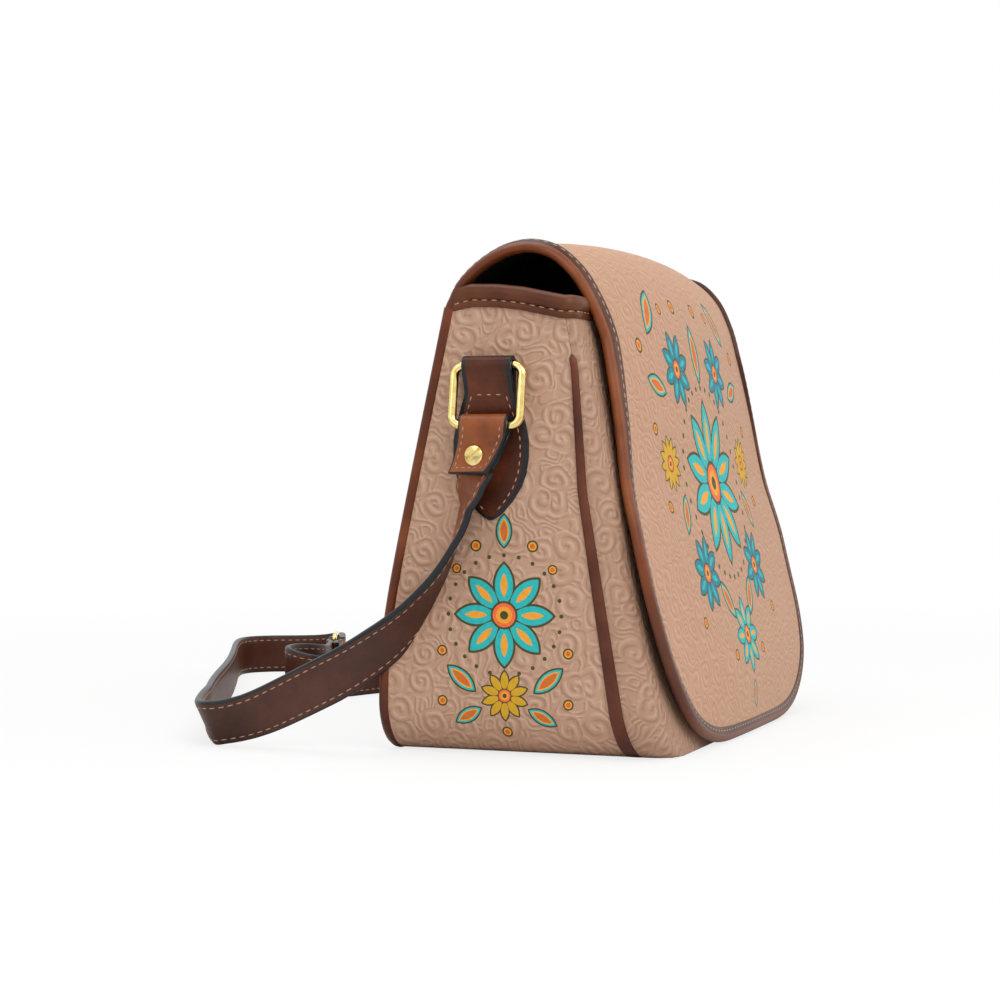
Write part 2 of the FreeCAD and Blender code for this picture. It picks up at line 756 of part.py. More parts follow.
short_floor = [
    (82, 185.5, ON_EDGE + 0.8),
    (64, 182, ON_EDGE),
    (54, 176, ON_EDGE),
    (54, 166, ON_EDGE),
    (63, 159, ON_EDGE),
    (80, 157, ON_EDGE),
    (102, 156, ON_EDGE),
    (122, 150, ON_EDGE),
    (135, 139, ON_EDGE),
    (side_x, 124, ON_EDGE),
]
short_fall = [(tab_y, 1), (tab_y, 0.89), (16, 0.71), (28, 0.52), (45, 0.35), (64, 0.19), (84, 0.07), (104, 0)]


def route_edges(name, points):
    """Straight runs joined by tangent arcs, each as large as its two runs allow."""
    edges = []
    radii = []
    start = points[0]
    for before, corner, after in zip(points, points[1:], points[2:]):
        back = before - corner
        ahead = after - corner
        reach = 0.45 * min(back.Length, ahead.Length)
        turn = math.pi - back.getAngle(ahead)
        radius = reach / math.tan(turn / 2)
        back.normalize()
        ahead.normalize()
        inward = (back + ahead).normalize()
        first = corner + back * reach
        last = corner + ahead * reach
        middle = corner + inward * radius * (1 / math.cos(turn / 2) - 1)
        edges.append(Part.LineSegment(start, first).toShape())
        edges.append(Part.Arc(first, middle, last).toShape())
        radii.append(radius)
        start = last
    edges.append(Part.LineSegment(start, points[-1]).toShape())
    length = sum(edge.Length for edge in edges)
    print(name, "length", round(length, 1), "bend radii", [round(radius, 1) for radius in radii])
    return edges


def halves(edges, run):
    """The route cut in the middle of one straight run, counted from its start."""
    line = edges[2 * run]
    start = line.Vertexes[0].Point
    end = line.Vertexes[1].Point
    middle = (start + end) * 0.5
    first = Part.LineSegment(start, middle).toShape()
    last = Part.LineSegment(middle, end).toShape()
    return edges[:2 * run] + [first], [last] + edges[2 * run + 1:]


def ribbon(edges, thin_way):
    """A flat strap swept along the edges; thin_way is square to its face at the start."""
    path = Part.Wire(edges)
    start = edges[0].valueAt(edges[0].FirstParameter)
    ahead = edges[0].tangentAt(edges[0].FirstParameter)
    wide = ahead.cross(thin_way).normalize() * value("strap_width") / 2
    thin = wide.cross(ahead).normalize() * value("strap_leather") / 2
    corners = [start + wide + thin, start - wide + thin, start - wide - thin, start + wide - thin]
    sweep = Part.BRepOffsetAPI.MakePipeShell(path)
    fixed = thin if abs(thin_way.x) > 0 and abs(ahead.z) > 0 else wide
    sweep.setBiNormalMode(fixed.normalize())
    sweep.add(Part.makePolygon(corners + corners[:1]))
    sweep.build()
    sweep.makeSolid()
    solid = sweep.shape()
    expected = path.Length * value("strap_width") * value("strap_leather")
    print("  ribbon volume", round(solid.Volume, 1), "section times length", round(expected, 1))
    return solid


def strap(name, side, fall, floor, fold):
    drop = root_height - ON_EDGE
    route = [Vector(side * side_x, y, ON_EDGE + share * drop) for y, share in fall] + floor
    falling, lying = halves(route_edges(name, route), len(fall) - 1)
    pieces = [ribbon(falling, Vector(1, 0, 0)), ribbon(lying, Vector(1, 0, 0))]
    solid = doc.addObject("Part::Feature", name)
    solid.Label = name
    solid.Shape = pieces[0].fuse([pieces[1], fold.Shape]).removeSplitter()
    return solid


doc.recompute()
long_route = [Vector(*point) for point in long_floor] + [long_root - long_way * approach, long_root]
short_route = [Vector(*point) for point in reversed(short_floor)]
short_route += [short_root - short_way * approach, short_root]
strap_long = strap("strap_long", -1, long_fall, long_route, long_fold)
strap_short = strap("strap_short", 1, short_fall, short_route, short_fold)

# Each piece is tested and written to a file of its own.
pieces = [
    back_panel, back_binding, front_panel, left_gusset, right_gusset, base_panel, base_board, lining,
    left_mouth_band, right_mouth_band, front_mouth_band, left_front_piping, right_front_piping,
    left_anchor_tab, right_anchor_tab, snap_socket, flap_panel, flap_lining, flap_binding, snap_stud,
    left_ring, right_ring, left_strap_end, right_strap_end, left_strap_screw, right_strap_screw,
    strap_long, strap_short, strap_link, link_screws,
]
doc.recompute()
for thing in doc.Objects:
    if "Invalid" in thing.State or "Error" in thing.State:
        raise RuntimeError(f"{thing.Name} failed: {thing.State}")
for piece in pieces:
    if piece.Shape.isNull() or not piece.Shape.isValid():
        raise RuntimeError(f"{piece.Label} has no valid shape")
    piece.Shape.exportStep(f"parts/{piece.Label}.step")
    print(piece.Label, len(piece.Shape.Solids), "solid,", round(piece.Shape.Volume / 1000, 2), "cm3")
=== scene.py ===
import math

import bpy
import numpy as np
from mathutils import Matrix, Vector


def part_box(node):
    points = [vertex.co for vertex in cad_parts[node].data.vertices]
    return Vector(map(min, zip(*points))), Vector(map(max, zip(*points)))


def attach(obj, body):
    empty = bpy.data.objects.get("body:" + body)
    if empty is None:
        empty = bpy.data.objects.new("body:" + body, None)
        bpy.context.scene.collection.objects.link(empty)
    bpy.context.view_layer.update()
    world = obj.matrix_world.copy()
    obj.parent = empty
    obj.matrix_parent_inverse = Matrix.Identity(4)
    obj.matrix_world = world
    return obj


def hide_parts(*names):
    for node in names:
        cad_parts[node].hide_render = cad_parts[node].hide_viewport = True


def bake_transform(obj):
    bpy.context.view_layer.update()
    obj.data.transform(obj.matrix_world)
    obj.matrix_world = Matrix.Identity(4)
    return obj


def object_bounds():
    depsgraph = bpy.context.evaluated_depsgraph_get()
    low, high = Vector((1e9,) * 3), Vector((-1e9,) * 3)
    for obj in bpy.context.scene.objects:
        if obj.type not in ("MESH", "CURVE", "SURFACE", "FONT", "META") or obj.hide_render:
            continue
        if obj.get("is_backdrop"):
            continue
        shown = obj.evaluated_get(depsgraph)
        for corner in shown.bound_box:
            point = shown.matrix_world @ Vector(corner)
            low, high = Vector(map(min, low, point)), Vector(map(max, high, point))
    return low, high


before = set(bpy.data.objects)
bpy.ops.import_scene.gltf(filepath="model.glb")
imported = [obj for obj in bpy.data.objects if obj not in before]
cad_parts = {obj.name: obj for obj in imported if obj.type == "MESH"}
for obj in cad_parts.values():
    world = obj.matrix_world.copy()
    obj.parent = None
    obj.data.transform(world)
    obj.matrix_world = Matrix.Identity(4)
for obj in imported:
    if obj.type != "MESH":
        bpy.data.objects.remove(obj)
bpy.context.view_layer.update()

MM = 0.001

# Front panel: one piece of tan leather, embossed with scrolls, that wraps round both front corners
# to the side seams and turns in under the base at its rounded foot. It swells a little in the middle.
BAG_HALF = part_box("front_panel")[1].x
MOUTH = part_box("front_panel")[1].z
FOOT_RADIUS = 23 * MM
LEATHER = 2.4 * MM
CORNER_RADIUS = 12 * MM
FRONT_SWELL = 2.5 * MM
DARK_TAN = "#6B452F"


def colour(code):
    """Linear colour of an sRGB hex code."""
    parts = [int(code[i:i + 2], 16) / 255 for i in (1, 3, 5)]
    return [c / 12.92 if c <= 0.04045 else ((c + 0.055) / 1.055) ** 2.4 for c in parts] + [1]


def feed(tree, node, inputs):
    """Set a node's inputs: each is given a value or the socket that feeds it."""
    for name, value in inputs.items():
        if isinstance(value, bpy.types.NodeSocket):
            tree.links.new(value, node.inputs[name])
        else:
            node.inputs[name].default_value = value


def add_node(tree, kind, inputs=None, stops=(), **settings):
    """Add a node with its settings and inputs.

    kind is the node's type without ShaderNode, and stops are a colour ramp's (place, colour) in order.
    """
    node = tree.nodes.new("ShaderNode" + kind)
    for name, setting in settings.items():
        setattr(node, name, setting)
    feed(tree, node, inputs or {})
    if stops:
        ramp = node.color_ramp.elements
        for element, (position, code) in zip(ramp, (stops[0], stops[-1])):
            element.position = position
            element.color = colour(code)
        for position, code in stops[1:-1]:
            ramp.new(position).color = colour(code)
    return node


def new_material(name):
    material = bpy.data.materials.new(name)
    material.use_nodes = True
    return material, material.node_tree, material.node_tree.nodes["Principled BSDF"]


def print_petals(tree, place, under, centre, count, ring, length, width, turn, bands):
    """Print pointed ovals over a colour, on a ring round a centre; an oval as wide as long is a dot.

    length and width are halves, and bands are (share of the half width, colour) from an oval's middle out.
    """
    away = add_node(tree, "VectorMath", {0: place, 1: (*centre, 0)}, operation="SUBTRACT").outputs[0]
    parts = add_node(tree, "SeparateXYZ", {0: away})
    reach = add_node(tree, "VectorMath", {0: away}, operation="LENGTH").outputs["Value"]
    angle = add_node(tree, "Math", {0: parts.outputs[1], 1: parts.outputs[0]}, operation="ARCTAN2")
    angle = add_node(tree, "Math", {0: angle.outputs[0], 1: turn}, operation="SUBTRACT")
    half_sector = math.pi / count
    angle = add_node(tree, "Math", {0: angle.outputs[0], 1: half_sector, 2: -half_sector}, operation="WRAP")
    ahead = add_node(tree, "Math", {0: angle.outputs[0]}, operation="COSINE")
    ahead = add_node(tree, "Math", {0: ahead.outputs[0], 1: reach, 2: -ring}, operation="MULTIPLY_ADD")
    aside = add_node(tree, "Math", {0: angle.outputs[0]}, operation="SINE")
    aside = add_node(tree, "Math", {0: aside.outputs[0], 1: reach}, operation="MULTIPLY")
    aside = add_node(tree, "Math", {0: aside.outputs[0]}, operation="ABSOLUTE")
    bow = (length**2 - width**2) / (2 * width)
    aside = add_node(tree, "Math", {0: aside.outputs[0], 1: bow}, operation="ADD")
    spread = add_node(tree, "CombineXYZ", {0: ahead.outputs[0], 1: aside.outputs[0]})
    spread = add_node(tree, "VectorMath", {0: spread.outputs[0]}, operation="LENGTH").outputs["Value"]
    share = add_node(tree, "Math", {0: spread, 1: 1 / width, 2: -bow / width}, operation="MULTIPLY_ADD")
    ramp = add_node(tree, "ValToRGB", {0: share.outputs[0]})
    ramp.color_ramp.interpolation = "CONSTANT"
    stops = ramp.color_ramp.elements
    stops[0].color = colour(bands[0][1])
    start = bands[0][0]
    for end, code in bands[1:]:
        stops.new(start).color = colour(code)
        start = end
    stops[len(stops) - 1].position = start
    stops[len(stops) - 1].color = (0, 0, 0, 0)
    mixed = add_node(
        tree, "Mix", {0: ramp.outputs["Alpha"], 6: under, 7: ramp.outputs["Color"]}, data_type="RGBA"
    )
    return mixed.outputs[2]


def scroll_relief(tree, place):
    """Height of the embossed scrolls, 0 to 1: curls about 15 mm wide, and wandering lines between them."""
    curl_width = 15 * MM
    scaled = add_node(tree, "VectorMath", {0: place, 3: 1 / curl_width}, operation="SCALE").outputs[0]
    bend = add_node(tree, "TexNoise", {"Vector": scaled, "Scale": 1.1, "Detail": 1})
    wander = add_node(
        tree,
        "VectorMath",
        {0: bend.outputs["Color"], 1: (0.4, 0.4, 0), 2: scaled},
        operation="MULTIPLY_ADD",
    ).outputs[0]
    cell = add_node(
        tree, "TexVoronoi", {"Vector": wander, "Scale": 1, "Randomness": 0.8}, voronoi_dimensions="2D"
    )
    away = add_node(
        tree, "VectorMath", {0: wander, 1: cell.outputs["Position"]}, operation="SUBTRACT"
    ).outputs[0]
    parts = add_node(tree, "SeparateXYZ", {0: away})
    angle = add_node(tree, "Math", {0: parts.outputs[1], 1: parts.outputs[0]}, operation="ARCTAN2")
    chance = add_node(tree, "SeparateColor", {0: cell.outputs["Color"]})
    hand = add_node(tree, "Math", {0: chance.outputs[1], 1: 0.5}, operation="GREATER_THAN")
    hand = add_node(tree, "Math", {0: hand.outputs[0], 1: 2, 2: -1}, operation="MULTIPLY_ADD")
    turned = add_node(tree, "Math", {0: angle.outputs[0], 1: hand.outputs[0]}, operation="MULTIPLY")
    turned = add_node(
        tree, "Math", {0: chance.outputs[0], 1: math.tau, 2: turned.outputs[0]}, operation="MULTIPLY_ADD"
    )
    tightness = add_node(tree, "MapRange", {0: chance.outputs[2], 3: 17, 4: 25})
    phase = add_node(
        tree,
        "Math",
        {0: cell.outputs["Distance"], 1: tightness.outputs[0], 2: turned.outputs[0]},
        operation="MULTIPLY_ADD",
    )
    wave = add_node(tree, "Math", {0: phase.outputs[0]}, operation="SINE")
    ridge = add_node(
        tree, "MapRange", {0: wave.outputs[0], 1: -0.85, 2: 0.95}, interpolation_type="SMOOTHSTEP"
    )
    inside = add_node(
        tree, "MapRange", {0: cell.outputs["Distance"], 1: 0.52, 2: 0.4}, interpolation_type="SMOOTHSTEP"
    )
    lines = add_node(tree, "Math", {0: bend.outputs["Fac"], 1: 60}, operation="MULTIPLY")
    lines = add_node(tree, "Math", {0: lines.outputs[0]}, operation="SINE")
    lines = add_node(
        tree, "MapRange", {0: lines.outputs[0], 1: -0.3, 2: 0.9, 4: 0.7}, interpolation_type="SMOOTHSTEP"
    )
    return add_node(
        tree, "Mix", {0: inside.outputs[0], 2: lines.outputs[0], 3: ridge.outputs[0]}
    ).outputs[0]


def embossed_leather(name, motifs, shade, tint_and_shade_colour=DARK_TAN):
    """Vegetable-tanned leather, plate-embossed with scrolls, printed, and lightly lacquered.

    It gives the eye soft raised curls, each with a painted highlight on one side and painted shade on the
    other, a fine grain and a satin face.
    shade is the share of the given colour mixed into its tan: a tone of the leather's own, and on the front
    panel painted shade.
    """
    material, tree, shader = new_material(name)
    place = add_node(tree, "UVMap", uv_map="UVMap").outputs[0]
    relief = scroll_relief(tree, place)
    beside = add_node(tree, "VectorMath", {0: place, 1: (-0.6 * MM, 0.6 * MM, 0)}).outputs[0]
    slope = add_node(
        tree, "Math", {0: relief, 1: scroll_relief(tree, beside)}, operation="SUBTRACT"
    ).outputs[0]
    pores = add_node(tree, "TexNoise", {"Vector": place, "Scale": 700, "Detail": 4, "Roughness": 0.65})
    height = add_node(tree, "Math", {0: pores.outputs["Fac"], 1: 0.35, 2: relief}, operation="MULTIPLY_ADD")
    bump = add_node(tree, "Bump", {"Strength": 0.42, "Distance": 0.7 * MM, "Height": height.outputs[0]})
    cloud = add_node(tree, "TexNoise", {"Vector": place, "Scale": 60, "Detail": 5, "Roughness": 0.6})
    tans = [(0.3, "#BB9379"), (0.7, "#C6A088")]
    tone = add_node(tree, "ValToRGB", {0: cloud.outputs["Fac"]}, tans)
    # Painted highlight and shade: each curl is paler on one side and darker on the other, as if lit from one
    # fixed side.
    painted_relief_light = add_node(tree, "MapRange", {0: slope, 1: -0.45, 2: 0.45, 3: 0, 4: 1})
    shaded_to_lit = [(0, "#9C7459"), (0.5, "#C19A80"), (1, "#DDBCA5")]
    sides = add_node(tree, "ValToRGB", {0: painted_relief_light.outputs[0]}, shaded_to_lit)
    shaded = add_node(
        tree, "Mix", {0: 0.42, 6: tone.outputs[0], 7: sides.outputs[0]}, data_type="RGBA"
    ).outputs[2]
    grain = add_node(tree, "MapRange", {0: pores.outputs["Fac"], 1: 0.3, 2: 0.7, 3: 0.12, 4: 0})
    shaded = add_node(
        tree, "Mix", {0: grain.outputs[0], 6: shaded, 7: colour(DARK_TAN)}, data_type="RGBA"
    ).outputs[2]
    shaded = add_node(tree, "Mix", {0: shade, 6: shaded, 7: colour(tint_and_shade_colour)}, data_type="RGBA").outputs[2]
    mirrored = add_node(tree, "VectorMath", {0: place}, operation="ABSOLUTE").outputs[0]
    for motif in motifs:
        shaded = print_petals(tree, mirrored, shaded, *motif)
    feed(tree, shader, {"Base Color": shaded, "Normal": bump.outputs[0]})
    rough = add_node(tree, "MapRange", {0: cloud.outputs["Fac"], 3: 0.5, 4: 0.66})
    feed(tree, shader, {"Roughness": rough.outputs[0], "Specular IOR Level": 0.3})
    return material


def edge_paint():
    """Acrylic edge paint, burnished on cut leather: near black, smooth, with a soft gleam."""
    material, tree, shader = new_material("burnished_edge_paint")
    place = add_node(tree, "TexCoord").outputs["Object"]
    drag = add_node(tree, "TexNoise", {"Vector": place, "Scale": 350, "Detail": 2})
    tone = add_node(tree, "ValToRGB", {0: drag.outputs["Fac"]}, [(0, "#0C0E12"), (1, "#1E2329")])
    bump = add_node(tree, "Bump", {"Strength": 0.2, "Distance": 0.2 * MM, "Height": drag.outputs["Fac"]})
    feed(tree, shader, {"Base Color": tone.outputs[0], "Normal": bump.outputs[0], "Roughness": 0.36})
    feed(tree, shader, {"Specular IOR Level": 0.3})
    return material


def shaped_sheet(name, columns, rows, place, materials, finish=None):
    """A grid whose points go where place() puts their shares across and along.
    """
    bpy.ops.object.select_all(action="DESELECT")
    bpy.ops.mesh.primitive_grid_add(x_subdivisions=columns, y_subdivisions=rows, size=1)
    piece = bpy.context.object
    piece.name = name
    for material in materials:
        piece.data.materials.append(material)
    if finish:
        for polygon in piece.data.polygons:
            polygon.material_index = int(finish(polygon.center.x + 0.5, polygon.center.y + 0.5))
    flat = []
    for vertex in piece.data.vertices:
        spot, uv = place(vertex.co.x + 0.5, vertex.co.y + 0.5)
        vertex.co = spot
        flat.append(uv)
    for loop in piece.data.loops:
        piece.data.uv_layers[0].data[loop.index].uv = flat[loop.vertex_index]
    return piece


def thicken(piece, thickness, bevel=0.4 * MM, offset=-1):
    """Give a sheet its thickness, painted cut edges where it has a second material, and soft edges."""
    bpy.context.view_layer.objects.active = piece
    wall = piece.modifiers.new("wall", "SOLIDIFY")
    wall.thickness = thickness
    wall.offset = offset
    wall.material_offset_rim = 1
    bpy.ops.object.modifier_apply(modifier=wall.name)
    soft = piece.modifiers.new("soft", "BEVEL")
    soft.width = bevel
    soft.segments = 2
    soft.angle_limit = math.radians(50)
    bpy.ops.object.modifier_apply(modifier=soft.name)
    bpy.ops.object.shade_smooth_by_angle(angle=math.radians(45))


def front_at(z):
    """The front's place along Y at a height: the side profile of the bag."""
    return np.interp(z, [0, 115 * MM, 193 * MM], [-71 * MM, -47 * MM, -31 * MM])


def seam_at(z):
    """The side seam's place along Y at a height, behind the rounded front corner."""
    behind = np.interp(z, [0, 115 * MM, 168 * MM, 193 * MM], [17.5 * MM, 11.8 * MM, 4.5 * MM, 4 * MM])
    return front_at(z) + behind


def wall_row(along, top):
    """Height and half width of a wall's row, from the top down and round the foot."""
    straight = 0.8
    if along < straight:
        return top + (FOOT_RADIUS - top) * along / straight, BAG_HALF
    turn = (along - straight) / (1 - straight) * math.pi / 2
    return FOOT_RADIUS * (1 - math.sin(turn)), BAG_HALF - FOOT_RADIUS * (1 - math.cos(turn))


def mouth_rise(share):
    """How far a side's rim stands over the front's; share runs from the rear to the front."""
    return np.interp(share, [0, 0.06, 0.16, 0.4, 0.63, 0.86, 1], [9.5, 10.4, 11.6, 11.2, 9.8, 7.3, 5.8]) * MM


def front_place(across, along):
    """A place on the front, from one side seam round both corners to the other, and its UV."""
    z, half = wall_row(along, MOUTH + mouth_rise(1))
    front, seam = front_at(z), seam_at(z)
    corner = min(0.75 * (seam - front), CORNER_RADIUS)
    side = seam - front - corner
    arc = corner * math.pi / 2
    total = 2 * (half - corner + arc + side)
    reach = (across - 0.5) * total
    hand = math.copysign(1, reach)
    rest = abs(reach) - (half - corner)
    if rest < 0:
        x, y = reach, front
    elif rest < arc:
        x = hand * (half - corner + corner * math.sin(rest / corner))
        y = front + corner * (1 - math.cos(rest / corner))
    else:
        x, y = hand * half, front + corner + rest - arc
    fullness = math.sin(math.pi * min(z / MOUTH, 1))
    swell = FRONT_SWELL * math.cos(math.pi * min(abs(x) / half, 1) / 2) * fullness
    return (x, y - swell, z), (reach, z)


paint = edge_paint()
# The front's 0.27 share of dark tan is painted shade: the whole panel is darkened as where the flap shades
# it.
plain_emboss = embossed_leather("embossed_tan_leather", [], 0.27)
front_panel = shaped_sheet(
    "front_panel_skin", 90, 60, lambda u, v: front_place(u, 1 - v), [plain_emboss, paint]
)
thicken(front_panel, LEATHER)
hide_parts("front_panel")
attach(front_panel, "bag")

# Gussets: a side of the same leather each, printed with rosettes, sewn to the front at the seam and to
# the back under its binding. Their rim rises behind the front, and they swell a little below.
SIDES = ((-1, "left"), (1, "right"))
GUSSET_SWELL = 1.6 * MM


def rear_at(z):
    """The rear face's place along Y: upright at the foot, then leaning forward in a soft bend."""
    lean, bend_height, bend_width = 0.22, 52 * MM, 20 * MM
    rise = z - bend_height
    return 60.6 * MM - lean * (math.hypot(rise, bend_width) + rise) / 2


def gusset_place(side, across, along):
    z, half = wall_row(along, MOUTH + mouth_rise(across))
    rear = rear_at(z) - 3.5 * MM
    y = rear + (seam_at(z) - rear) * across
    swell = GUSSET_SWELL * math.sin(math.pi * across) * max(math.sin(math.pi * min(z / (180 * MM), 1)), 0)
    return (side * (half + swell), y, z), (y, z)


OLIVE, TEAL, TURQUOISE = "#45431F", "#1E7F90", "#27B4B4"
ORANGE, AMBER, CORAL, MUSTARD = "#CE6A2C", "#EFA02E", "#EE6E3C", "#D0A021"
LEAF = [(0.42, ORANGE), (0.58, AMBER), (0.8, TURQUOISE), (1, OLIVE)]
PETAL = [(0.3, AMBER), (0.8, TURQUOISE), (1, OLIVE)]
DEEP_PETAL = [(0.3, TURQUOISE), (0.8, TEAL), (1, OLIVE)]
SUN_RAY = [(0.72, MUSTARD), (1, OLIVE)]
EYE = [(0.3, OLIVE), (0.58, AMBER), (0.84, CORAL), (1, OLIVE)]
DOT = [(0.45, ORANGE), (0.7, AMBER), (1, OLIVE)]
BEAD = [(0.5, OLIVE), (1, OLIVE)]


def rosette(x, y, count, ring, length, width, turn, bands, eye):
    """Petals round an eye, in millimetres."""
    centre = (x * MM, y * MM)
    return [
        (centre, count, ring * MM, length * MM, width * MM, turn, bands),
        (centre, 1, 0, eye * MM, eye * MM, 0, EYE),
    ]


def leaf(x, y, length, width, turn, bands=LEAF):
    return [((x * MM, y * MM), 1, 0, length * MM, width * MM, turn, bands)]


def dot(x, y, size):
    return leaf(x, y, size, size, 0, DOT)


def bead_ring(x, y, count, ring, size):
    return [((x * MM, y * MM), count, ring * MM, size * MM, size * MM, 0, BEAD)]


UPRIGHT = math.pi / 2
side_print = [
    *rosette(0, 62, 8, 13, 10.5, 5.2, UPRIGHT, PETAL, 6.2),
    *bead_ring(0, 62, 24, 26, 0.9),
    *leaf(0, 98.5, 7.8, 3.9, UPRIGHT),
    *dot(13, 92, 2.6),
    *dot(22, 82, 2.2),
    *rosette(0, 27, 10, 6.5, 5, 2.4, UPRIGHT, SUN_RAY, 3.2),
    *leaf(20, 34, 9, 4, 0.7),
    *leaf(17, 18, 7.5, 3.4, -0.5),
    *dot(29, 46, 2.4),
    *dot(29, 24, 2.4),
    *dot(0, 11, 2.4),
]
side_emboss = embossed_leather("embossed_tan_leather_with_rosettes", side_print, 0.05)
for side, hand in SIDES:
    gusset = shaped_sheet(
        f"{hand}_gusset_skin",
        40,
        64,
        lambda u, v: gusset_place(side, u if side < 0 else 1 - u, 1 - v),
        [side_emboss, paint],
    )
    thicken(gusset, LEATHER)
    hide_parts(f"{hand}_gusset")
    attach(gusset, "bag")

# Back panel: one piece of the same embossed leather, without print, that leans forward to the flap's bend.
# It is lightly filled out, and its edges go under the rolled binding.
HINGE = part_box("back_panel")[1].z
BACK_INSET = 4 * MM


def back_place(across, along):
    z, half = wall_row(along, HINGE)
    x = (across - 0.5) * 2 * (half - BACK_INSET)
    z = max(z, BACK_INSET)
    swell = 2 * MM * math.cos(math.pi * x / (2 * half)) * math.sin(math.pi * min(z / HINGE, 1))
    return (x, rear_at(z) - 1.6 * MM + swell, z), (x, z)


back_emboss = embossed_leather("embossed_back_leather", [], 0.05)
back_panel = shaped_sheet(
    "back_panel_skin", 60, 60, lambda u, v: back_place(1 - u, 1 - v), [back_emboss, paint]
)
thicken(back_panel, LEATHER)
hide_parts("back_panel")
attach(back_panel, "bag")

# Base: a plain panel of brown leather, waxed and burnished, on which the bag stands.
# It is sewn in between the turned-in feet of the front, the back and the gussets.


def brown_leather(name, dark, mid, light, gloss, painted_shades=()):
    """Aniline-dyed calf leather, waxed and hand-burnished: cloudy brown, fine pores, soft bright gleams.

    shades are (axis, from, to, share, colour): painted shade and light, tones mixed in along an axis of the
    object, in mm, from none at from to the full share at to.
    The pores are drawn about 1 mm apart, coarser than real ones, so that they show.
    """
    material, tree, shader = new_material(name)
    place = add_node(tree, "TexCoord").outputs["Object"]
    cloud = add_node(tree, "TexNoise", {"Vector": place, "Scale": 38, "Detail": 4, "Roughness": 0.55})
    browns = [(0.28, dark), (0.5, mid), (0.74, light)]
    toned = add_node(tree, "ValToRGB", {0: cloud.outputs["Fac"]}, browns).outputs[0]
    ways = add_node(tree, "SeparateXYZ", {0: place})
    # Painted shade and light, mixed in along an axis of the object.
    for axis, start, end, share, code in painted_shades:
        shade_share = add_node(tree, "MapRange", {0: ways.outputs[axis], 1: start * MM, 2: end * MM, 4: share})
        toned = add_node(
            tree, "Mix", {0: shade_share.outputs[0], 6: toned, 7: colour(code)}, data_type="RGBA"
        ).outputs[2]
    pores = add_node(tree, "TexVoronoi", {"Vector": place, "Scale": 900, "Randomness": 1})
    crease = add_node(tree, "TexNoise", {"Vector": place, "Scale": 240, "Detail": 3})
    height = add_node(
        tree,
        "Math",
        {0: crease.outputs["Fac"], 1: 0.8, 2: pores.outputs["Distance"]},
        operation="MULTIPLY_ADD",
    )
    bump = add_node(tree, "Bump", {"Strength": 0.22, "Distance": 0.3 * MM, "Height": height.outputs[0]})
    rough = add_node(tree, "MapRange", {0: cloud.outputs["Fac"], 3: 0.5 - gloss, 4: 0.62 - gloss})
    feed(tree, shader, {"Base Color": toned, "Normal": bump.outputs[0], "Roughness": rough.outputs[0]})
    feed(tree, shader, {"Specular IOR Level": 0.2, "Coat Weight": 0.08, "Coat Roughness": 0.22})
    return material


binding_brown = brown_leather("waxed_brown_calf", "#42200F", "#632F16", "#7C4223", 0.16)


def base_place(across, along):
    inset = 2 * MM
    y = rear_at(0) - inset + (front_at(0) + inset - rear_at(0) + inset) * along
    x = (across - 0.5) * 2 * (BAG_HALF - FOOT_RADIUS)
    return (x, y, 0.2 * MM), (x, y)


base_panel = shaped_sheet("base_panel_skin", 30, 16, base_place, [binding_brown, paint])
thicken(base_panel, LEATHER)
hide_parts("base_panel")
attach(base_panel, "bag")

# Rolled bindings: a strip of brown calf turned over a cord and sewn down along an edge. The back's
# runs down both sides and under the foot.


def merge_doubles(close_ends):
    """Merge the doubled seam of the active piece, close its open ends where asked, and face it outwards."""
    bpy.ops.object.mode_set(mode="EDIT")
    bpy.ops.mesh.select_all(action="SELECT")
    bpy.ops.mesh.remove_doubles(threshold=1e-6)
    if close_ends:
        bpy.ops.mesh.select_all(action="DESELECT")
        bpy.ops.mesh.select_non_manifold(extend=False)
        bpy.ops.mesh.edge_face_add()
        bpy.ops.mesh.select_all(action="SELECT")
    bpy.ops.mesh.normals_make_consistent(inside=False)
    bpy.ops.object.mode_set(mode="OBJECT")


def in_metres(section):
    """A section that is given in millimetres."""
    return [(out * MM, up * MM) for out, up in section]


def swept_roll(name, spots, section, materials, finish=None):
    """A closed section, or one for each spot, swept along spots of (place, outward, facing).

    finish lists the materials of its columns.
    """
    sections = section if np.ndim(section) == 3 else [section] * len(spots)
    count = len(sections[0])

    def place(across, along):
        row = round(along * (len(spots) - 1))
        spot, outward, facing = spots[row]
        column = round(across * count)
        out, up = sections[row][column % count]
        return spot + outward * out + facing * up, (column * 2 * MM, along)

    finish = finish or [0] * count
    roll = shaped_sheet(name, count, len(spots) - 1, place, materials, lambda u, v: finish[int(u * count)])
    merge_doubles(close_ends=True)
    bpy.ops.object.shade_smooth_by_angle(angle=math.radians(50))
    return roll


def back_edge(steps):
    """Spots along the back's edge, from the left top down, under the foot and up to the right top."""
    rows = [wall_row(along, HINGE) for along in np.linspace(0, 1, steps)]
    left = [Vector((-half - 1 * MM, rear_at(z), z)) for z, half in rows]
    right = [Vector((-spot.x, spot.y, spot.z)) for spot in reversed(left)]
    bottom = [Vector((x, rear_at(0), 0)) for x in np.linspace(left[-1].x, right[0].x, 30)[1:-1]]
    return left + bottom + right


def edge_frames(line, facing):
    """Give each spot its outward way, square to the line and to the facing."""
    spots = []
    for index, spot in enumerate(line):
        ahead = (line[min(index + 1, len(line) - 1)] - line[max(index - 1, 0)]).normalized()
        face = facing(spot)
        outward = face.cross(ahead).normalized()
        spots.append((spot, outward, ahead.cross(outward).normalized()))
    return spots


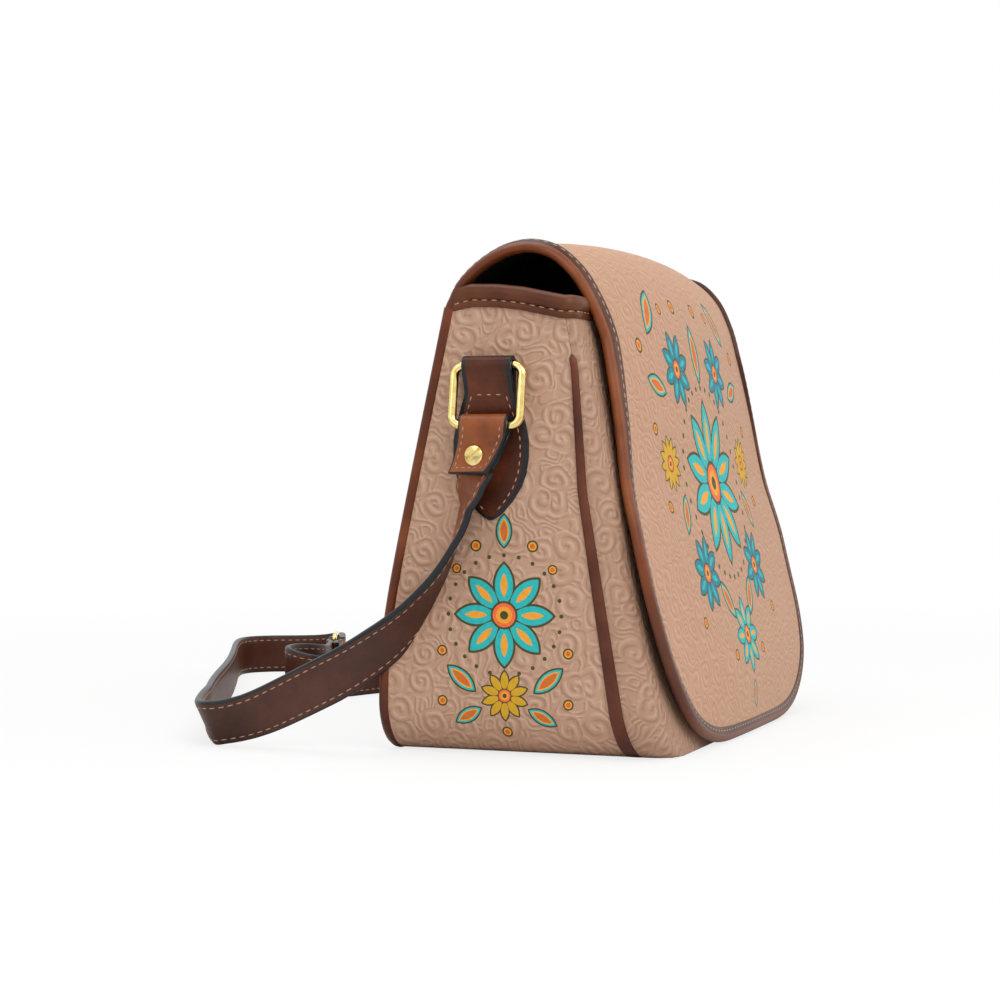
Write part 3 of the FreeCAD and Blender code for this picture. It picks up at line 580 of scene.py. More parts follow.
roll_section = [
    (-8.6, -0.9), (-7.9, -0.1), (-6.5, 0.25), (-4.5, 0.35), (-2.4, 0.1), (-0.9, -0.7), (-0.1, -2.0),
    (0.0, -3.2), (-0.5, -4.6), (-1.8, -5.3), (-4.5, -5.5), (-7.5, -5.4), (-8.6, -4.6), (-8.8, -2.8),
]
back_spots = edge_frames(back_edge(60), lambda spot: Vector((0, 1, 0.1)).normalized())
roll_finish = [0] * 9 + [1] * 2 + [0] * 3
back_binding = swept_roll(
    "back_binding_roll", back_spots, in_metres(roll_section), [binding_brown, paint], roll_finish
)
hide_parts("back_binding")
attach(back_binding, "bag")

# Side seam strips: a narrow rounded strip of brown calf, sewn over each front side seam. It starts
# with a rounded end below the mouth, widens downwards and turns under the foot.


def wall_out(side, z):
    """Which way a side wall faces at a height: sideways, then turning down at the foot."""
    turn = math.asin(min(max(1 - z / FOOT_RADIUS, 0), 1))
    return Vector((side * math.cos(turn), 0, -math.sin(turn)))


strip_section = [
    (1, -0.4), (1, 0.1), (0.85, 0.6), (0.5, 0.9), (0, 1), (-0.5, 0.9), (-0.85, 0.6), (-1, 0.1), (-1, -0.4),
]
strip_brown = brown_leather("seam_strip_calf", "#3A1C13", "#55291A", "#6C3A26", 0.1)
STRIP_TOP = 174.5 * MM
for side, hand in SIDES:
    strip_spots = []
    for along in np.linspace(0, 0.985, 90):
        z, half = wall_row(along, STRIP_TOP)
        rounding = min(1, 0.2 + math.sqrt((STRIP_TOP - z) / (2 * MM)))
        width = np.interp(z, [0, STRIP_TOP], [3.2 * MM, 1.5 * MM]) * rounding
        flattened = min(z / (7 * MM), 1)
        outwards = wall_out(side, z)
        spot = Vector((side * half, seam_at(z), z)) + outwards * 0.3 * MM * flattened
        strip_spots.append((spot, Vector((0, -1, 0)) * width, outwards * 1.5 * MM * rounding * flattened))
    strip = swept_roll(f"{hand}_seam_strip", strip_spots, strip_section, [strip_brown])
    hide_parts(f"{hand}_front_piping")
    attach(strip, "bag")

# Lining: a bag of black cotton twill inside the walls, sewn in at the mouth. Its walls are a little
# slack, and its floor lies over a stiff board.


def black_twill():
    """Cotton twill, piece-dyed black: matt, with fine slanting ribs (drawn at 1.6 mm, so that they show)."""
    material, tree, shader = new_material("black_cotton_twill")
    place = add_node(tree, "TexCoord").outputs["Object"]
    rib_width = 1.6 * MM
    scale = 1 / rib_width / 6.3
    ribs = add_node(
        tree, "TexWave", {"Vector": place, "Scale": scale, "Distortion": 0.6}, bands_direction="DIAGONAL"
    )
    tone = add_node(tree, "ValToRGB", {0: ribs.outputs["Fac"]}, [(0, "#08080A"), (1, "#141416")])
    bump = add_node(tree, "Bump", {"Strength": 0.4, "Distance": 0.3 * MM, "Height": ribs.outputs["Fac"]})
    feed(tree, shader, {"Base Color": tone.outputs[0], "Normal": bump.outputs[0], "Roughness": 0.9})
    feed(tree, shader, {"Specular IOR Level": 0.15})
    return material


twill = black_twill()
LINING_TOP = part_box("lining")[1].z


def lining_place(across, along):
    """A place on the lining: the first rows go down its wall, and the last ones in over its floor."""
    wall_share, floor_share = 0.8, 0.2
    floor_height = 5.4 * MM
    wall = min(along / wall_share, 1)
    z = LINING_TOP + (floor_height - LINING_TOP) * wall
    shrink = 1 - 0.96 * max(along - wall_share, 0) / floor_share
    half = BAG_HALF - 4.2 * MM
    if z < FOOT_RADIUS:
        half -= FOOT_RADIUS - math.sqrt(max(FOOT_RADIUS**2 - (FOOT_RADIUS - z) ** 2, 0))
    front, rear = front_at(z) + 3.6 * MM, rear_at(z) - 7 * MM
    turn = across * math.tau
    fold = 1 - 0.012 * (1 + math.sin(7 * turn + 9 * wall)) * math.sin(math.pi * wall)
    power = 0.22
    x = half * math.copysign(abs(math.cos(turn)) ** power, math.cos(turn)) * fold * shrink
    y = math.copysign(abs(math.sin(turn)) ** power, math.sin(turn)) * (rear - front) / 2 * fold * shrink
    return (x, (front + rear) / 2 + y, z), (across, z)


lining = shaped_sheet("lining_bag", 96, 40, lambda u, v: lining_place(u, 1 - v), [twill])
merge_doubles(close_ends=False)
thicken(lining, 0.8 * MM, 0.1 * MM)
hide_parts("lining")
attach(lining, "bag")

# Mouth band: a strip of brown calf rolled over the rim of both sides and of the front, and sewn
# through once, two thirds of the way down. Its ends go under the back's binding.


def thread_material():
    """Waxed linen thread, pale tan: matt, and mottled by the twist of its plies."""
    material, tree, shader = new_material("waxed_linen_thread")
    place = add_node(tree, "TexCoord").outputs["Object"]
    plies = add_node(tree, "TexNoise", {"Vector": place, "Scale": 1500, "Detail": 1})
    tone = add_node(tree, "ValToRGB", {0: plies.outputs["Fac"]}, [(0, "#8C6853"), (1, "#CBA78F")])
    feed(tree, shader, {"Base Color": tone.outputs[0], "Roughness": 0.7})
    return material


thread = thread_material()


def lengths_along(points):
    """The length of a line of points from its start to each of them."""
    return np.concatenate([[0], np.cumsum(np.linalg.norm(np.diff(points, axis=0), axis=1))])


def sew(name, lines, pitch, gap=1.7 * MM, width=0.65 * MM):
    """Sew along lines of (place, facing): short rounded stitches, each a copy of one, a gap apart."""
    bpy.ops.object.select_all(action="DESELECT")
    bpy.ops.mesh.primitive_uv_sphere_add(segments=6, ring_count=5, radius=0.5)
    stitch = bpy.context.object
    shape = np.array([vertex.co for vertex in stitch.data.vertices])
    shape[:, 0] = np.sign(shape[:, 0]) * np.sqrt(np.abs(shape[:, 0]) / 2)
    shape *= (pitch - gap, width, 0.75 * width)
    faces = [list(polygon.vertices) for polygon in stitch.data.polygons]
    bpy.data.objects.remove(stitch)
    points, polygons = [], []
    for line in lines:
        spots = np.array([place for place, facing in line])
        faced = np.array([facing for place, facing in line])
        reach = lengths_along(spots)
        count = max(int(reach[-1] / pitch), 1)
        for middle in (np.arange(count) + 0.5) * reach[-1] / count:
            before, spot, after = (
                np.array([np.interp(at, reach, spots[:, k]) for k in range(3)])
                for at in (middle - pitch / 2, middle, middle + pitch / 2)
            )
            up = np.array([np.interp(middle, reach, faced[:, k]) for k in range(3)])
            ahead = (after - before) / np.linalg.norm(after - before)
            up = up - ahead * (up @ ahead)
            up /= np.linalg.norm(up)
            first = len(points)
            points.extend(spot + shape @ np.array([ahead, np.cross(up, ahead), up]))
            polygons.extend([first + corner for corner in face] for face in faces)
    mesh = bpy.data.meshes.new(name)
    mesh.from_pydata(points, [], polygons)
    mesh.materials.append(thread)
    seam = bpy.data.objects.new(name, mesh)
    bpy.context.collection.objects.link(seam)
    bpy.ops.object.select_all(action="DESELECT")
    bpy.context.view_layer.objects.active = seam
    seam.select_set(True)
    bpy.ops.object.shade_smooth()
    return seam


band_section = [
    (0.7, -9.0), (1.5, -8.7), (1.8, -7.6), (1.6, -6.3), (1.0, -5.8), (1.6, -5.3), (2.5, -4.0), (2.7, -2.6),
    (2.3, -0.7), (1.1, 0.8), (-0.7, 1.2), (-2.4, 0.8), (-3.4, -0.8), (-3.6, -4.0), (-3.3, -8.6),
    (-2.6, -9.0),
]
BAND_TAPER = 8 * MM
BAND_SLANT = 0.3
side_rim = []
for share in np.linspace(0, 1, 40)[:-1]:
    z = MOUTH + mouth_rise(share)
    rear = rear_at(z) - 3.2 * MM
    side_rim.append(Vector((BAG_HALF, rear + (seam_at(z) - rear) * share, z)))
rim_line = [Vector((-spot.x, spot.y, spot.z)) for spot in side_rim]
rim_line += [Vector(front_place(u, 0)[0]) for u in np.linspace(0, 1, 90)]
rim_line += reversed(side_rim)
rim_frames = edge_frames(rim_line, lambda spot: Vector((0, 0, 1)))
rim_spots = []
for spot, outward, facing in rim_frames:
    from_end = (rim_line[0].y - spot.y) / BAND_TAPER
    slant = Vector((0, BAND_SLANT * max(1 - from_end, 0), 0))
    rim_spots.append((spot, -outward * min(0.2 + from_end, 1), facing - slant))
band_brown = brown_leather("mouth_band_calf", "#36190B", "#522812", "#68381D", 0.16)
mouth_band = swept_roll("mouth_band_roll", rim_spots, in_metres(band_section), [band_brown])
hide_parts("left_mouth_band", "front_mouth_band", "right_mouth_band")
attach(mouth_band, "bag")
rim_stitches = [
    (spot + outward * 1.3 * MM - facing * 6.0 * MM, outward) for spot, outward, facing in rim_spots
]
rim_seam = sew("mouth_band_stitches", [rim_stitches], 4.4 * MM)
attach(rim_seam, "bag")

# Anchor tabs: a shield of brown calf sewn to each side, whose narrow upper end goes round the ring's bar
# and back under itself. Its cut edges are painted.


def curve_through(points, count):
    """Evenly spaced spots on a smooth curve through points."""
    knots = np.array(points, float)
    pace = lengths_along(knots)
    slope = np.gradient(knots, pace, axis=0)
    fine = np.linspace(0, pace[-1], 40 * len(knots))
    index = np.clip(np.searchsorted(pace, fine, side="right") - 1, 0, len(pace) - 2)
    step = (pace[index + 1] - pace[index])[:, None]
    t = (fine - pace[index])[:, None] / step
    line = (
        (2 * t**3 - 3 * t**2 + 1) * knots[index]
        + (t**3 - 2 * t**2 + t) * step * slope[index]
        + (3 * t**2 - 2 * t**3) * knots[index + 1]
        + (t**3 - t**2) * step * slope[index + 1]
    )
    reach = lengths_along(line)
    even = np.linspace(0, reach[-1], count)
    return np.stack([np.interp(even, reach, column) for column in line.T], axis=1)


TAB_PLACE = 6 * MM
tab_bends = [
    (2.2, 103), (2.2, 115), (2.2, 128), (2.3, 140), (2.7, 147), (3.8, 153), (4.3, 157), (5.2, 161),
    (7.0, 165), (8.2, 168), (8.5, 170), (8.0, 172.1), (6.6, 173.6), (4.25, 174.25), (1.9, 173.6),
    (0.5, 172.1), (0.1, 170), (0.1, 164), (0.1, 154),
]
tab_path = curve_through(tab_bends, 120) * MM
tab_reach = lengths_along(tab_path)
tab_rise = [0, 1.2, 3, 8.7, 14.6, 20.4, 27.7, 35, 42, 49, 55, 300]
tab_halves = [0.6, 3.0, 5.4, 10.4, 14.1, 16.3, 17.3, 17.2, 15.8, 13.2, 11.25, 11.25]
TAB_PAINTED = 2.0 * MM
TAB_COLUMNS, TAB_ROWS = 14, 110


def across_with_edges(across, half, columns, painted):
    """Spread columns over a strip so that the outer one on each side is as wide as its painted edge."""
    column = round(across * columns)
    edge = min(painted, half / 2)
    if column in (0, columns):
        return -half if column == 0 else half
    return (half - edge) * (2 * (column - 1) / (columns - 2) - 1)


def tab_half(reach):
    return np.interp(reach / MM, tab_rise, tab_halves) * MM


def tab_place(side, across, along):
    reach = along * tab_reach[-1]
    out, z = (np.interp(reach, tab_reach, tab_path[:, k]) for k in (0, 1))
    y = across_with_edges(across, tab_half(reach), TAB_COLUMNS, TAB_PAINTED)
    return (side * (BAG_HALF + out), TAB_PLACE + y, z), (y, reach)


tab_brown = brown_leather("tab_brown_calf", "#2C130A", "#4A2111", "#6E371B", 0.14)
for side, hand in SIDES:
    tab = shaped_sheet(
        f"{hand}_anchor_tab_leather",
        TAB_COLUMNS,
        TAB_ROWS,
        lambda u, v: tab_place(side, u if side > 0 else 1 - u, v),
        [tab_brown, paint],
        lambda u, v: not 1 / TAB_COLUMNS < u < 1 - 1 / TAB_COLUMNS or v < 2 / TAB_ROWS,
    )
    thicken(tab, 2 * MM, 0.5 * MM)
    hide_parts(f"{hand}_anchor_tab")
    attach(tab, "bag")
    lines = []
    for edge in (-1, 1):
        line = []
        for reach in np.linspace(4.2 * MM, 54.5 * MM, 40):
            out, z = (np.interp(reach, tab_reach, tab_path[:, k]) for k in (0, 1))
            y = TAB_PLACE + edge * max(tab_half(reach) - 3.6 * MM, 0.4 * MM)
            line.append((Vector((side * (BAG_HALF + out), y, z)), Vector((side, 0, 0))))
        lines.append(line)
    top = [lines[0][-1][0], lines[1][-1][0]]
    lines.append([(top[0].lerp(top[1], share), Vector((side, 0, 0))) for share in (0.08, 0.5, 0.92)])
    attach(sew(f"{hand}_anchor_tab_stitches", lines, 3.6 * MM, 1.4 * MM), "bag")

# Rings and screws: cast and turned brass, polished and lacquered pale gold. The snap's halves are
# pressed brass, and the board under the lining is grey-brown pressed fibre.


def polished_brass(name, dark, light, rough_low, rough_high):
    """Cast brass, polished and lacquered: pale gold, clear reflections, faint polishing marks."""
    material, tree, shader = new_material(name)
    place = add_node(tree, "TexCoord").outputs["Object"]
    marks = add_node(tree, "TexNoise", {"Vector": place, "Scale": 420, "Detail": 4})
    tone = add_node(tree, "ValToRGB", {0: marks.outputs["Fac"]}, [(0.3, dark), (0.7, light)])
    rough = add_node(tree, "MapRange", {0: marks.outputs["Fac"], 3: rough_low, 4: rough_high})
    feed(tree, shader, {"Base Color": tone.outputs[0], "Roughness": rough.outputs[0], "Metallic": 1})
    return material


gold = polished_brass("polished_brass", "#E0C070", "#F4DFA0", 0.06, 0.16)
snap_brass = polished_brass("satin_brass", "#A88C55", "#C7AB74", 0.28, 0.42)


def pressed_fibre():
    """Pressed fibreboard, grey-brown: matt, mottled with fibres about 2 mm long."""
    material, tree, shader = new_material("pressed_fibreboard")
    place = add_node(tree, "TexCoord").outputs["Object"]
    fibres = add_node(tree, "TexNoise", {"Vector": place, "Scale": 500, "Detail": 5, "Roughness": 0.7})
    tone = add_node(tree, "ValToRGB", {0: fibres.outputs["Fac"]}, [(0, "#5E4F3F"), (1, "#94836C")])
    feed(tree, shader, {"Base Color": tone.outputs[0], "Roughness": 0.85})
    return material


fibre = pressed_fibre()
metal_nodes = ("left_ring", "right_ring", "strap_link", "link_screws")
for node, material in (
    *((node, gold) for node in metal_nodes),
    ("snap_socket", snap_brass),
    ("snap_stud", snap_brass),
    ("base_board", fibre),
):
    cad_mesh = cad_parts[node].data
    cad_mesh.materials.clear()
    cad_mesh.materials.append(material)

# Strap folds: each end of a strap is turned back over its ring or link and held by a slotted screw.
# The turned-back tail lies outside, sewn round three sides, with painted edges.
STRAP_HALF = 11 * MM
STRAP_THICK = 2.6 * MM
TAIL = 21 * MM
SCREW_DROP = 13 * MM
FOLD_COLUMNS, FOLD_ROWS = 10, 89
strap_brown = brown_leather("strap_brown_calf", "#38211A", "#4A2D24", "#5A392D", 0.12)
fold_brown = brown_leather("strap_fold_calf", "#5E321C", "#8A4A27", "#A66338", 0.14)


def fold_line(root):
    """The leather's middle line round the bar: (towards the root's side, along to the bar).

    The tail's foot curls out.
    """
    turn = [(1.35, -9), (2.6, -4.5), (3.5, -1), (3.2, 1.6), (1.9, 3.0)]
    back = [(-out, ahead) for out, ahead in reversed(turn)]
    ends = [(1.3, -root / MM), (1.3, -14)], [(-1.3, -13), (-1.7, -17), (-3.0, -TAIL / MM)]
    return curve_through(ends[0] + turn + [(0, 3.55)] + back + ends[1], FOLD_ROWS + 1) * MM


STRAP_PAINTED = 0.9 * MM
DOWN_RING = [0, 5, 14, 18, 21, 32]


def strap_fold(name, bar, ahead, inward, across, root, sways, tail_turns, root_turns, body):
    """A fold round a bar, its stitches and its screw's place.

    sways and turns are the slant of the fold and the twist of its tail and root, at the places of DOWN_RING.
    """
    line = fold_line(root)

    def frame_at(out, forward):
        down = -forward / MM
        turn = math.radians(np.interp(down, DOWN_RING, root_turns if out > 0 else tail_turns))
        middle = bar + ahead * forward + across * np.interp(down, DOWN_RING, sways) * MM
        return (
            middle,
            across * math.cos(turn) + inward * math.sin(turn),
            inward * math.cos(turn) - across * math.sin(turn),
        )

    def spot(wide, out, forward):
        middle, wide_way, in_way = frame_at(out, forward)
        return middle + wide_way * wide + in_way * out

    def place(u, v):
        out, forward = line[round(v * FOLD_ROWS)]
        wide = across_with_edges(u, STRAP_HALF, FOLD_COLUMNS, STRAP_PAINTED)
        return spot(wide, out, forward), (wide, forward)

    fold = shaped_sheet(
        name,
        FOLD_COLUMNS,
        FOLD_ROWS,
        place,
        [fold_brown, paint],
        lambda u, v: not 1 / FOLD_COLUMNS < u < 1 - 1 / FOLD_COLUMNS or v > 1 - 1.2 / FOLD_ROWS,
    )
    thicken(fold, STRAP_THICK, 0.5 * MM, 0)
    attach(fold, body)
    seam_inset = 2.6 * MM
    inset = STRAP_HALF - seam_inset
    half_way = (FOLD_ROWS + 1) // 2
    outside = [(out - STRAP_THICK / 2, forward) for out, forward in line]
    tail = [row for row in outside[half_way:] if seam_inset - TAIL < row[1] < 0.4 * MM]
    below = [row for row in outside[:half_way] if row[1] < -TAIL - 1 * MM]
    seams = [
        [(spot(edge * inset, *row), -frame_at(*row)[2]) for row in rows]
        for rows in (tail, below)
        if len(rows) > 2
        for edge in (-1, 1)
    ]
    foot = tail[-1]
    seams.append([(spot(wide, *foot), -frame_at(*foot)[2]) for wide in np.linspace(-inset, inset, 5)])
    seam = sew(f"{name}_stitches", seams, 3.2 * MM, 1.2 * MM)
    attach(seam, body)
    return fold, seam, (spot(0, -STRAP_THICK, -SCREW_DROP), -frame_at(-STRAP_THICK, -SCREW_DROP)[2])


def slotted_screw(name, place, facing, slot_way):
    """A turned brass screw head, softly domed, with a milled slot."""
    bpy.ops.object.select_all(action="DESELECT")
    bpy.ops.mesh.primitive_cylinder_add(
        vertices=40, radius=4.6 * MM, depth=2.4 * MM, location=(0, 0, 0.4 * MM)
    )
    head = bpy.context.object
    head.name = name
    head.data.materials.append(gold)
    dome = head.modifiers.new("dome", "BEVEL")
    dome.width = 0.9 * MM
    dome.segments = 4
    dome.angle_limit = math.radians(50)
    bpy.ops.object.modifier_apply(modifier=dome.name)
    bpy.ops.mesh.primitive_cube_add(size=1, location=(0, 0, 1.6 * MM))
    cutter = bpy.context.object
    cutter.scale = (12 * MM, 1.5 * MM, 1.4 * MM)
    bpy.context.view_layer.objects.active = head
    slot = head.modifiers.new("slot", "BOOLEAN")
    slot.operation = "DIFFERENCE"
    slot.object = cutter
    bpy.ops.object.modifier_apply(modifier=slot.name)
    bpy.data.objects.remove(cutter)
    along = (slot_way - facing * slot_way.dot(facing)).normalized()
    ways = Matrix((along, facing.cross(along), facing)).transposed()
    for vertex in head.data.vertices:
        vertex.co = place + ways @ (vertex.co + Vector((0, 0, 0.4 * MM)))
    head.location = (0, 0, 0)
    head.select_set(True)
    bpy.ops.object.shade_smooth_by_angle(angle=math.radians(40))
    return head


UP = Vector((0, 0, 1))
RING_SWAY = [0, 0.8, 3.8, 5.2, 6.2, 8.2]
TAIL_TURN = [0, 0, 13.5, 19.5, 24, 46]
ROOT_TURN = [0, 0, 13.5, 25, 34, 50]
for side, hand in SIDES:
    bar = Vector((side * 142.35, 6, 144.12)) * MM
    fold, _, head = strap_fold(
        f"{hand}_strap_end_fold",
        bar,
        UP,
        Vector((-side, 0, 0)),
        Vector((0, 1, 0)),
        19 * MM,
        RING_SWAY,
        TAIL_TURN,
        ROOT_TURN,
        f"{hand}_ring_body",
    )
    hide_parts(f"{hand}_strap_end")
    screw = slotted_screw(f"{hand}_strap_screw_head", *head, Vector((0, -0.77, 0.64)))
    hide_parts(f"{hand}_strap_screw")
    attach(screw, f"{hand}_ring_body")

# Flap: one broad piece of the embossed leather, printed with rosettes, that springs from the back in an
# arch, falls over the front and ends in a round tongue. Black twill lines it and a rolled binding edges it.
FLAP_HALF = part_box("flap_binding")[1].x
TONGUE = 95 * MM
TONGUE_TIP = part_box("flap_binding")[0].z
flap_profile = [
    (28.4, 196.3), (23.3, 206.3), (13, 216.8), (1.5, 222.8), (-7.5, 224), (-18, 221.2), (-27.8, 212.6),
    (-35.8, 198.5), (-40.5, 185), (-43.8, 171), (-47.9, 150), (-54.1, 115), (-58.9, 98), (-65.1, 73),
    (-71.8, 48.8), (-75.6, 33), (-80.1, 1),
]
flap_line = curve_through(flap_profile, 500) * MM
flap_reach = lengths_along(flap_line)
flap_slope = np.gradient(flap_line, flap_reach, axis=0)
PAST_CREST = 0.09
front_part = flap_reach > PAST_CREST
WAIST_REACHES = [0, 12, 30, 55, 85, 105, 150, 200]
WAIST_INSETS = [-5, -4.5, -1, 3, 10, 14.5, 9.2, 0]


def flap_row(along, inset):
    """Length from the hinge, and half width, of a row of the flap; the last rows follow the round tongue."""
    straight = 0.6
    fullness = 0.74
    radius = TONGUE - inset
    centre = TONGUE_TIP + TONGUE
    turn = max(along - straight, 0) / (1 - straight) * math.pi / 2
    z = centre - radius * math.sin(turn) ** fullness
    down = np.interp(-z, -flap_line[front_part, 1], flap_reach[front_part])
    reach = down if along > straight else down * along / straight
    waist = MM * np.interp(reach / MM, WAIST_REACHES, WAIST_INSETS)
    return reach, FLAP_HALF - TONGUE + radius * max(math.cos(turn), 0) ** fullness - waist


def flap_press(x, z):
    """How far the tongue's left side lies closer to the front than the rest."""
    beside = min(max(-x / (100 * MM), 0), 1)
    press = np.interp(z / MM, [0, 15, 30, 45, 60, 82], [2.2, 2.4, 2.4, 1.9, 1.0, 0])
    return press * MM * beside**2 * (3 - 2 * beside)


def flap_spot(x, reach, lift):
    """A place on the flap, lifted off its profile, and the way it faces."""
    y, z = (np.interp(reach, flap_reach, flap_line[:, k]) for k in (0, 1))
    slope_y, slope_z = (np.interp(reach, flap_reach, flap_slope[:, k]) for k in (0, 1))
    facing = Vector((0, slope_z, -slope_y)).normalized()
    return Vector((x, y, z)) + facing * (lift - flap_press(x, z)), facing


def flap_swell(x, reach, half):
    """How far the leather stands out between its edges: most at the crest, none at hinge and tip."""
    share = max(1 - (x / half) ** 2, 0)
    rise = np.interp(reach, [0, 0.035, 0.06, 0.12, 0.2, 0.26, flap_reach[-1]], [0, 5.5, 7.6, 6, 4, 2, 0])
    return share * rise * MM


def flap_sheet(name, lift, thickness, materials):
    """A layer of the flap at its lift off the profile, with its edge inside the binding."""
    edge_inset = 5 * MM

    def place(across, along):
        reach, half = flap_row(along, edge_inset)
        x = (2 * across - 1) * half
        return flap_spot(x, reach, lift + flap_swell(x, reach, half))[0], (x, reach)

    sheet = shaped_sheet(name, 70, 130, lambda u, v: place(u, 1 - v), materials)
    thicken(sheet, thickness, 0.2 * MM)
    return sheet


def hang_on_hinge(piece):
    """Bake the piece's placing into its mesh."""
    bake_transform(piece)


flap_print = [
    *rosette(0, 172, 10, 23, 18, 7.6, UPRIGHT, PETAL, 11),
    *bead_ring(0, 172, 36, 46, 1.3),
    *leaf(0, 110, 15, 6.2, UPRIGHT),
    *rosette(34, 118, 8, 10.5, 8.2, 4.3, 0.3, DEEP_PETAL, 5),
    *leaf(58, 92, 14, 5.8, 0.9),
    *leaf(66, 126, 12, 5, -0.3),
    *dot(18, 88, 3.6),
    *dot(80, 108, 3.6),
    *dot(40, 90, 2.8),
    *rosette(64, 162, 12, 7.5, 6, 2.6, 0.1, SUN_RAY, 4),
    *leaf(56, 186, 11, 4.6, 1.1),
    *dot(78, 146, 3),
    *dot(76, 182, 3),
    *rosette(44, 214, 8, 10.5, 8.2, 4.3, 0.5, DEEP_PETAL, 5),
    *leaf(20, 228, 12, 5, 2.2),
    *dot(62, 236, 2.8),
    *rosette(0, 246, 8, 10.5, 8.2, 4.3, UPRIGHT, PETAL, 5),
    *dot(24, 254, 2.8),
    *leaf(0, 274, 7, 3.2, UPRIGHT),
]
flap_emboss = embossed_leather("flap_embossed_leather_with_rosettes", flap_print, 0.2, "#BC7F4E")
flap_panel = flap_sheet("flap_leather", -0.8 * MM, 2.2 * MM, [flap_emboss, paint])
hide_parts("flap_panel")
hang_on_hinge(flap_panel)
flap_lining = flap_sheet("flap_lining_cloth", -3.1 * MM, 1.0 * MM, [twill])
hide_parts("flap_lining")
hang_on_hinge(flap_lining)

# Flap binding: a strip of brown calf turned over a cord round the flap's edge, with a stitched rim on the
# leather. The rim is widest at the crest, and narrows and sinks flat towards the foot.
left_edge = []
for along in np.linspace(0, 1, 150):
    reach, half = flap_row(along, 0)
    left_edge.append((-half, reach))
tip_x, tip_reach = left_edge[-1]
tip = [(x, tip_reach) for x in np.linspace(tip_x, -tip_x, 24)[1:-1]]
flap_edge = left_edge + tip + [(-x, reach) for x, reach in reversed(left_edge)]
flap_spots = []
for index, (x, reach) in enumerate(flap_edge):
    spot, facing = flap_spot(x, reach, 0)
    before = flap_spot(*flap_edge[max(index - 1, 0)], 0)[0]
    after = flap_spot(*flap_edge[min(index + 1, len(flap_edge) - 1)], 0)[0]
    outward = (after - before).cross(facing).normalized()
    flap_spots.append((spot, outward, facing))
flap_section = [
    (-8.8, -1.2), (-8.7, 1.3), (-8.1, 1.8), (-6.6, 1.4), (-5.0, 0.7), (-4.1, -0.1), (-3.6, 0.1), (-2.8, 0.0),
    (-1.7, -0.4), (-0.8, -1.1), (-0.1, -2.1), (0.0, -3.0), (-0.6, -3.9), (-2.2, -4.5), (-4.5, -4.6),
    (-7.0, -4.4), (-8.8, -3.4),
]
RIM_DROP = [0, 1.9, 2.1, 1.6, 0.8] + [0] * 12
RIM_NARROWING = 0.22
flap_sections, flap_stitches = [], []
for spot, outward, facing in flap_spots:
    low = np.interp(spot.z / MM, [105, 175], [1, 0])
    width = 1 - RIM_NARROWING * low
    flap_sections.append(
        [(out * width * MM, (up - drop * low) * MM) for (out, up), drop in zip(flap_section, RIM_DROP)]
    )
    place = spot - outward * 6.4 * width * MM + facing * (1.15 - 1.55 * low) * MM
    flap_stitches.append((place, facing))
# Painted shade on the roll: darker towards the back and lower down, and lighter again near the foot.
roll_brown = brown_leather(
    "rolled_edge_calf",
    "#632F15",
    "#783C1B",
    "#8C4F26",
    0.18,
    [(1, 2, 20, 0.9, "#542917"), (2, 90, 50, 0.75, "#4A2C22"), (2, 28, 8, 0.7, "#733A1C")],
)
rim_brown = brown_leather("stitched_rim_calf", "#341C13", "#4C2D20", "#664434", 0.16)
rim_and_roll = [1] * 5 + [0] * 11 + [1]
flap_binding = swept_roll(
    "flap_binding_roll", flap_spots, flap_sections, [roll_brown, rim_brown], rim_and_roll
)
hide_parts("flap_binding")
hang_on_hinge(flap_binding)
flap_seam = sew("flap_binding_stitches", [flap_stitches], 4.2 * MM, 1.5 * MM, 0.9 * MM)
hang_on_hinge(flap_seam)

# Strap: a flat brown calf strap in two lengths joined by a gold link, sewn along both edges, with painted
# edges. It falls from the rings, twists as it turns back, and lies on its edge in a loop behind the bag.


def strap_line(name, route):
    """Spots along the strap's smooth middle line."""
    route_curve = bpy.data.curves.new(f"{name}_line", "CURVE")
    route_curve.dimensions = "3D"
    spline = route_curve.splines.new("NURBS")
    spline.points.add(len(route) - 1)
    for point, spot in zip(spline.points, route):
        point.co = (spot[0] * MM, spot[1] * MM, spot[2] * MM, 1)
    spline.order_u = 3
    spline.use_endpoint_u = True
    spline.resolution_u = 10
    holder = bpy.data.objects.new(f"{name}_line", route_curve)
    bpy.context.collection.objects.link(holder)
    mesh = bpy.data.meshes.new_from_object(holder)
    spots = [vertex.co.copy() for vertex in mesh.vertices]
    bpy.data.objects.remove(holder)
    bpy.data.meshes.remove(mesh)
    return spots


strap_section = [
    (-10.0, 1.55), (-5, 1.6), (0, 1.6), (5, 1.6), (10.0, 1.55), (10.7, 1.15), (11, 0.45), (11, -0.45),
    (10.7, -1.15), (10.0, -1.55), (5, -1.6), (0, -1.6), (-5, -1.6), (-10.0, -1.55), (-10.7, -1.15),
    (-11, -0.45), (-11, 0.45), (-10.7, 1.15),
]
# Painted shade: the outer face darkens from 100 mm down to 45 mm, where the strap runs low by the floor.
strap_outer = brown_leather(
    "strap_outer_calf", "#5A301A", "#844726", "#9F5E36", 0.14, [(2, 100, 45, 0.85, "#3A1E14")]
)
strap_finish = {-1: [0] * 4 + [1] * 5 + [2] * 4 + [1] * 5, 1: [2] * 4 + [1] * 5 + [0] * 4 + [1] * 5}


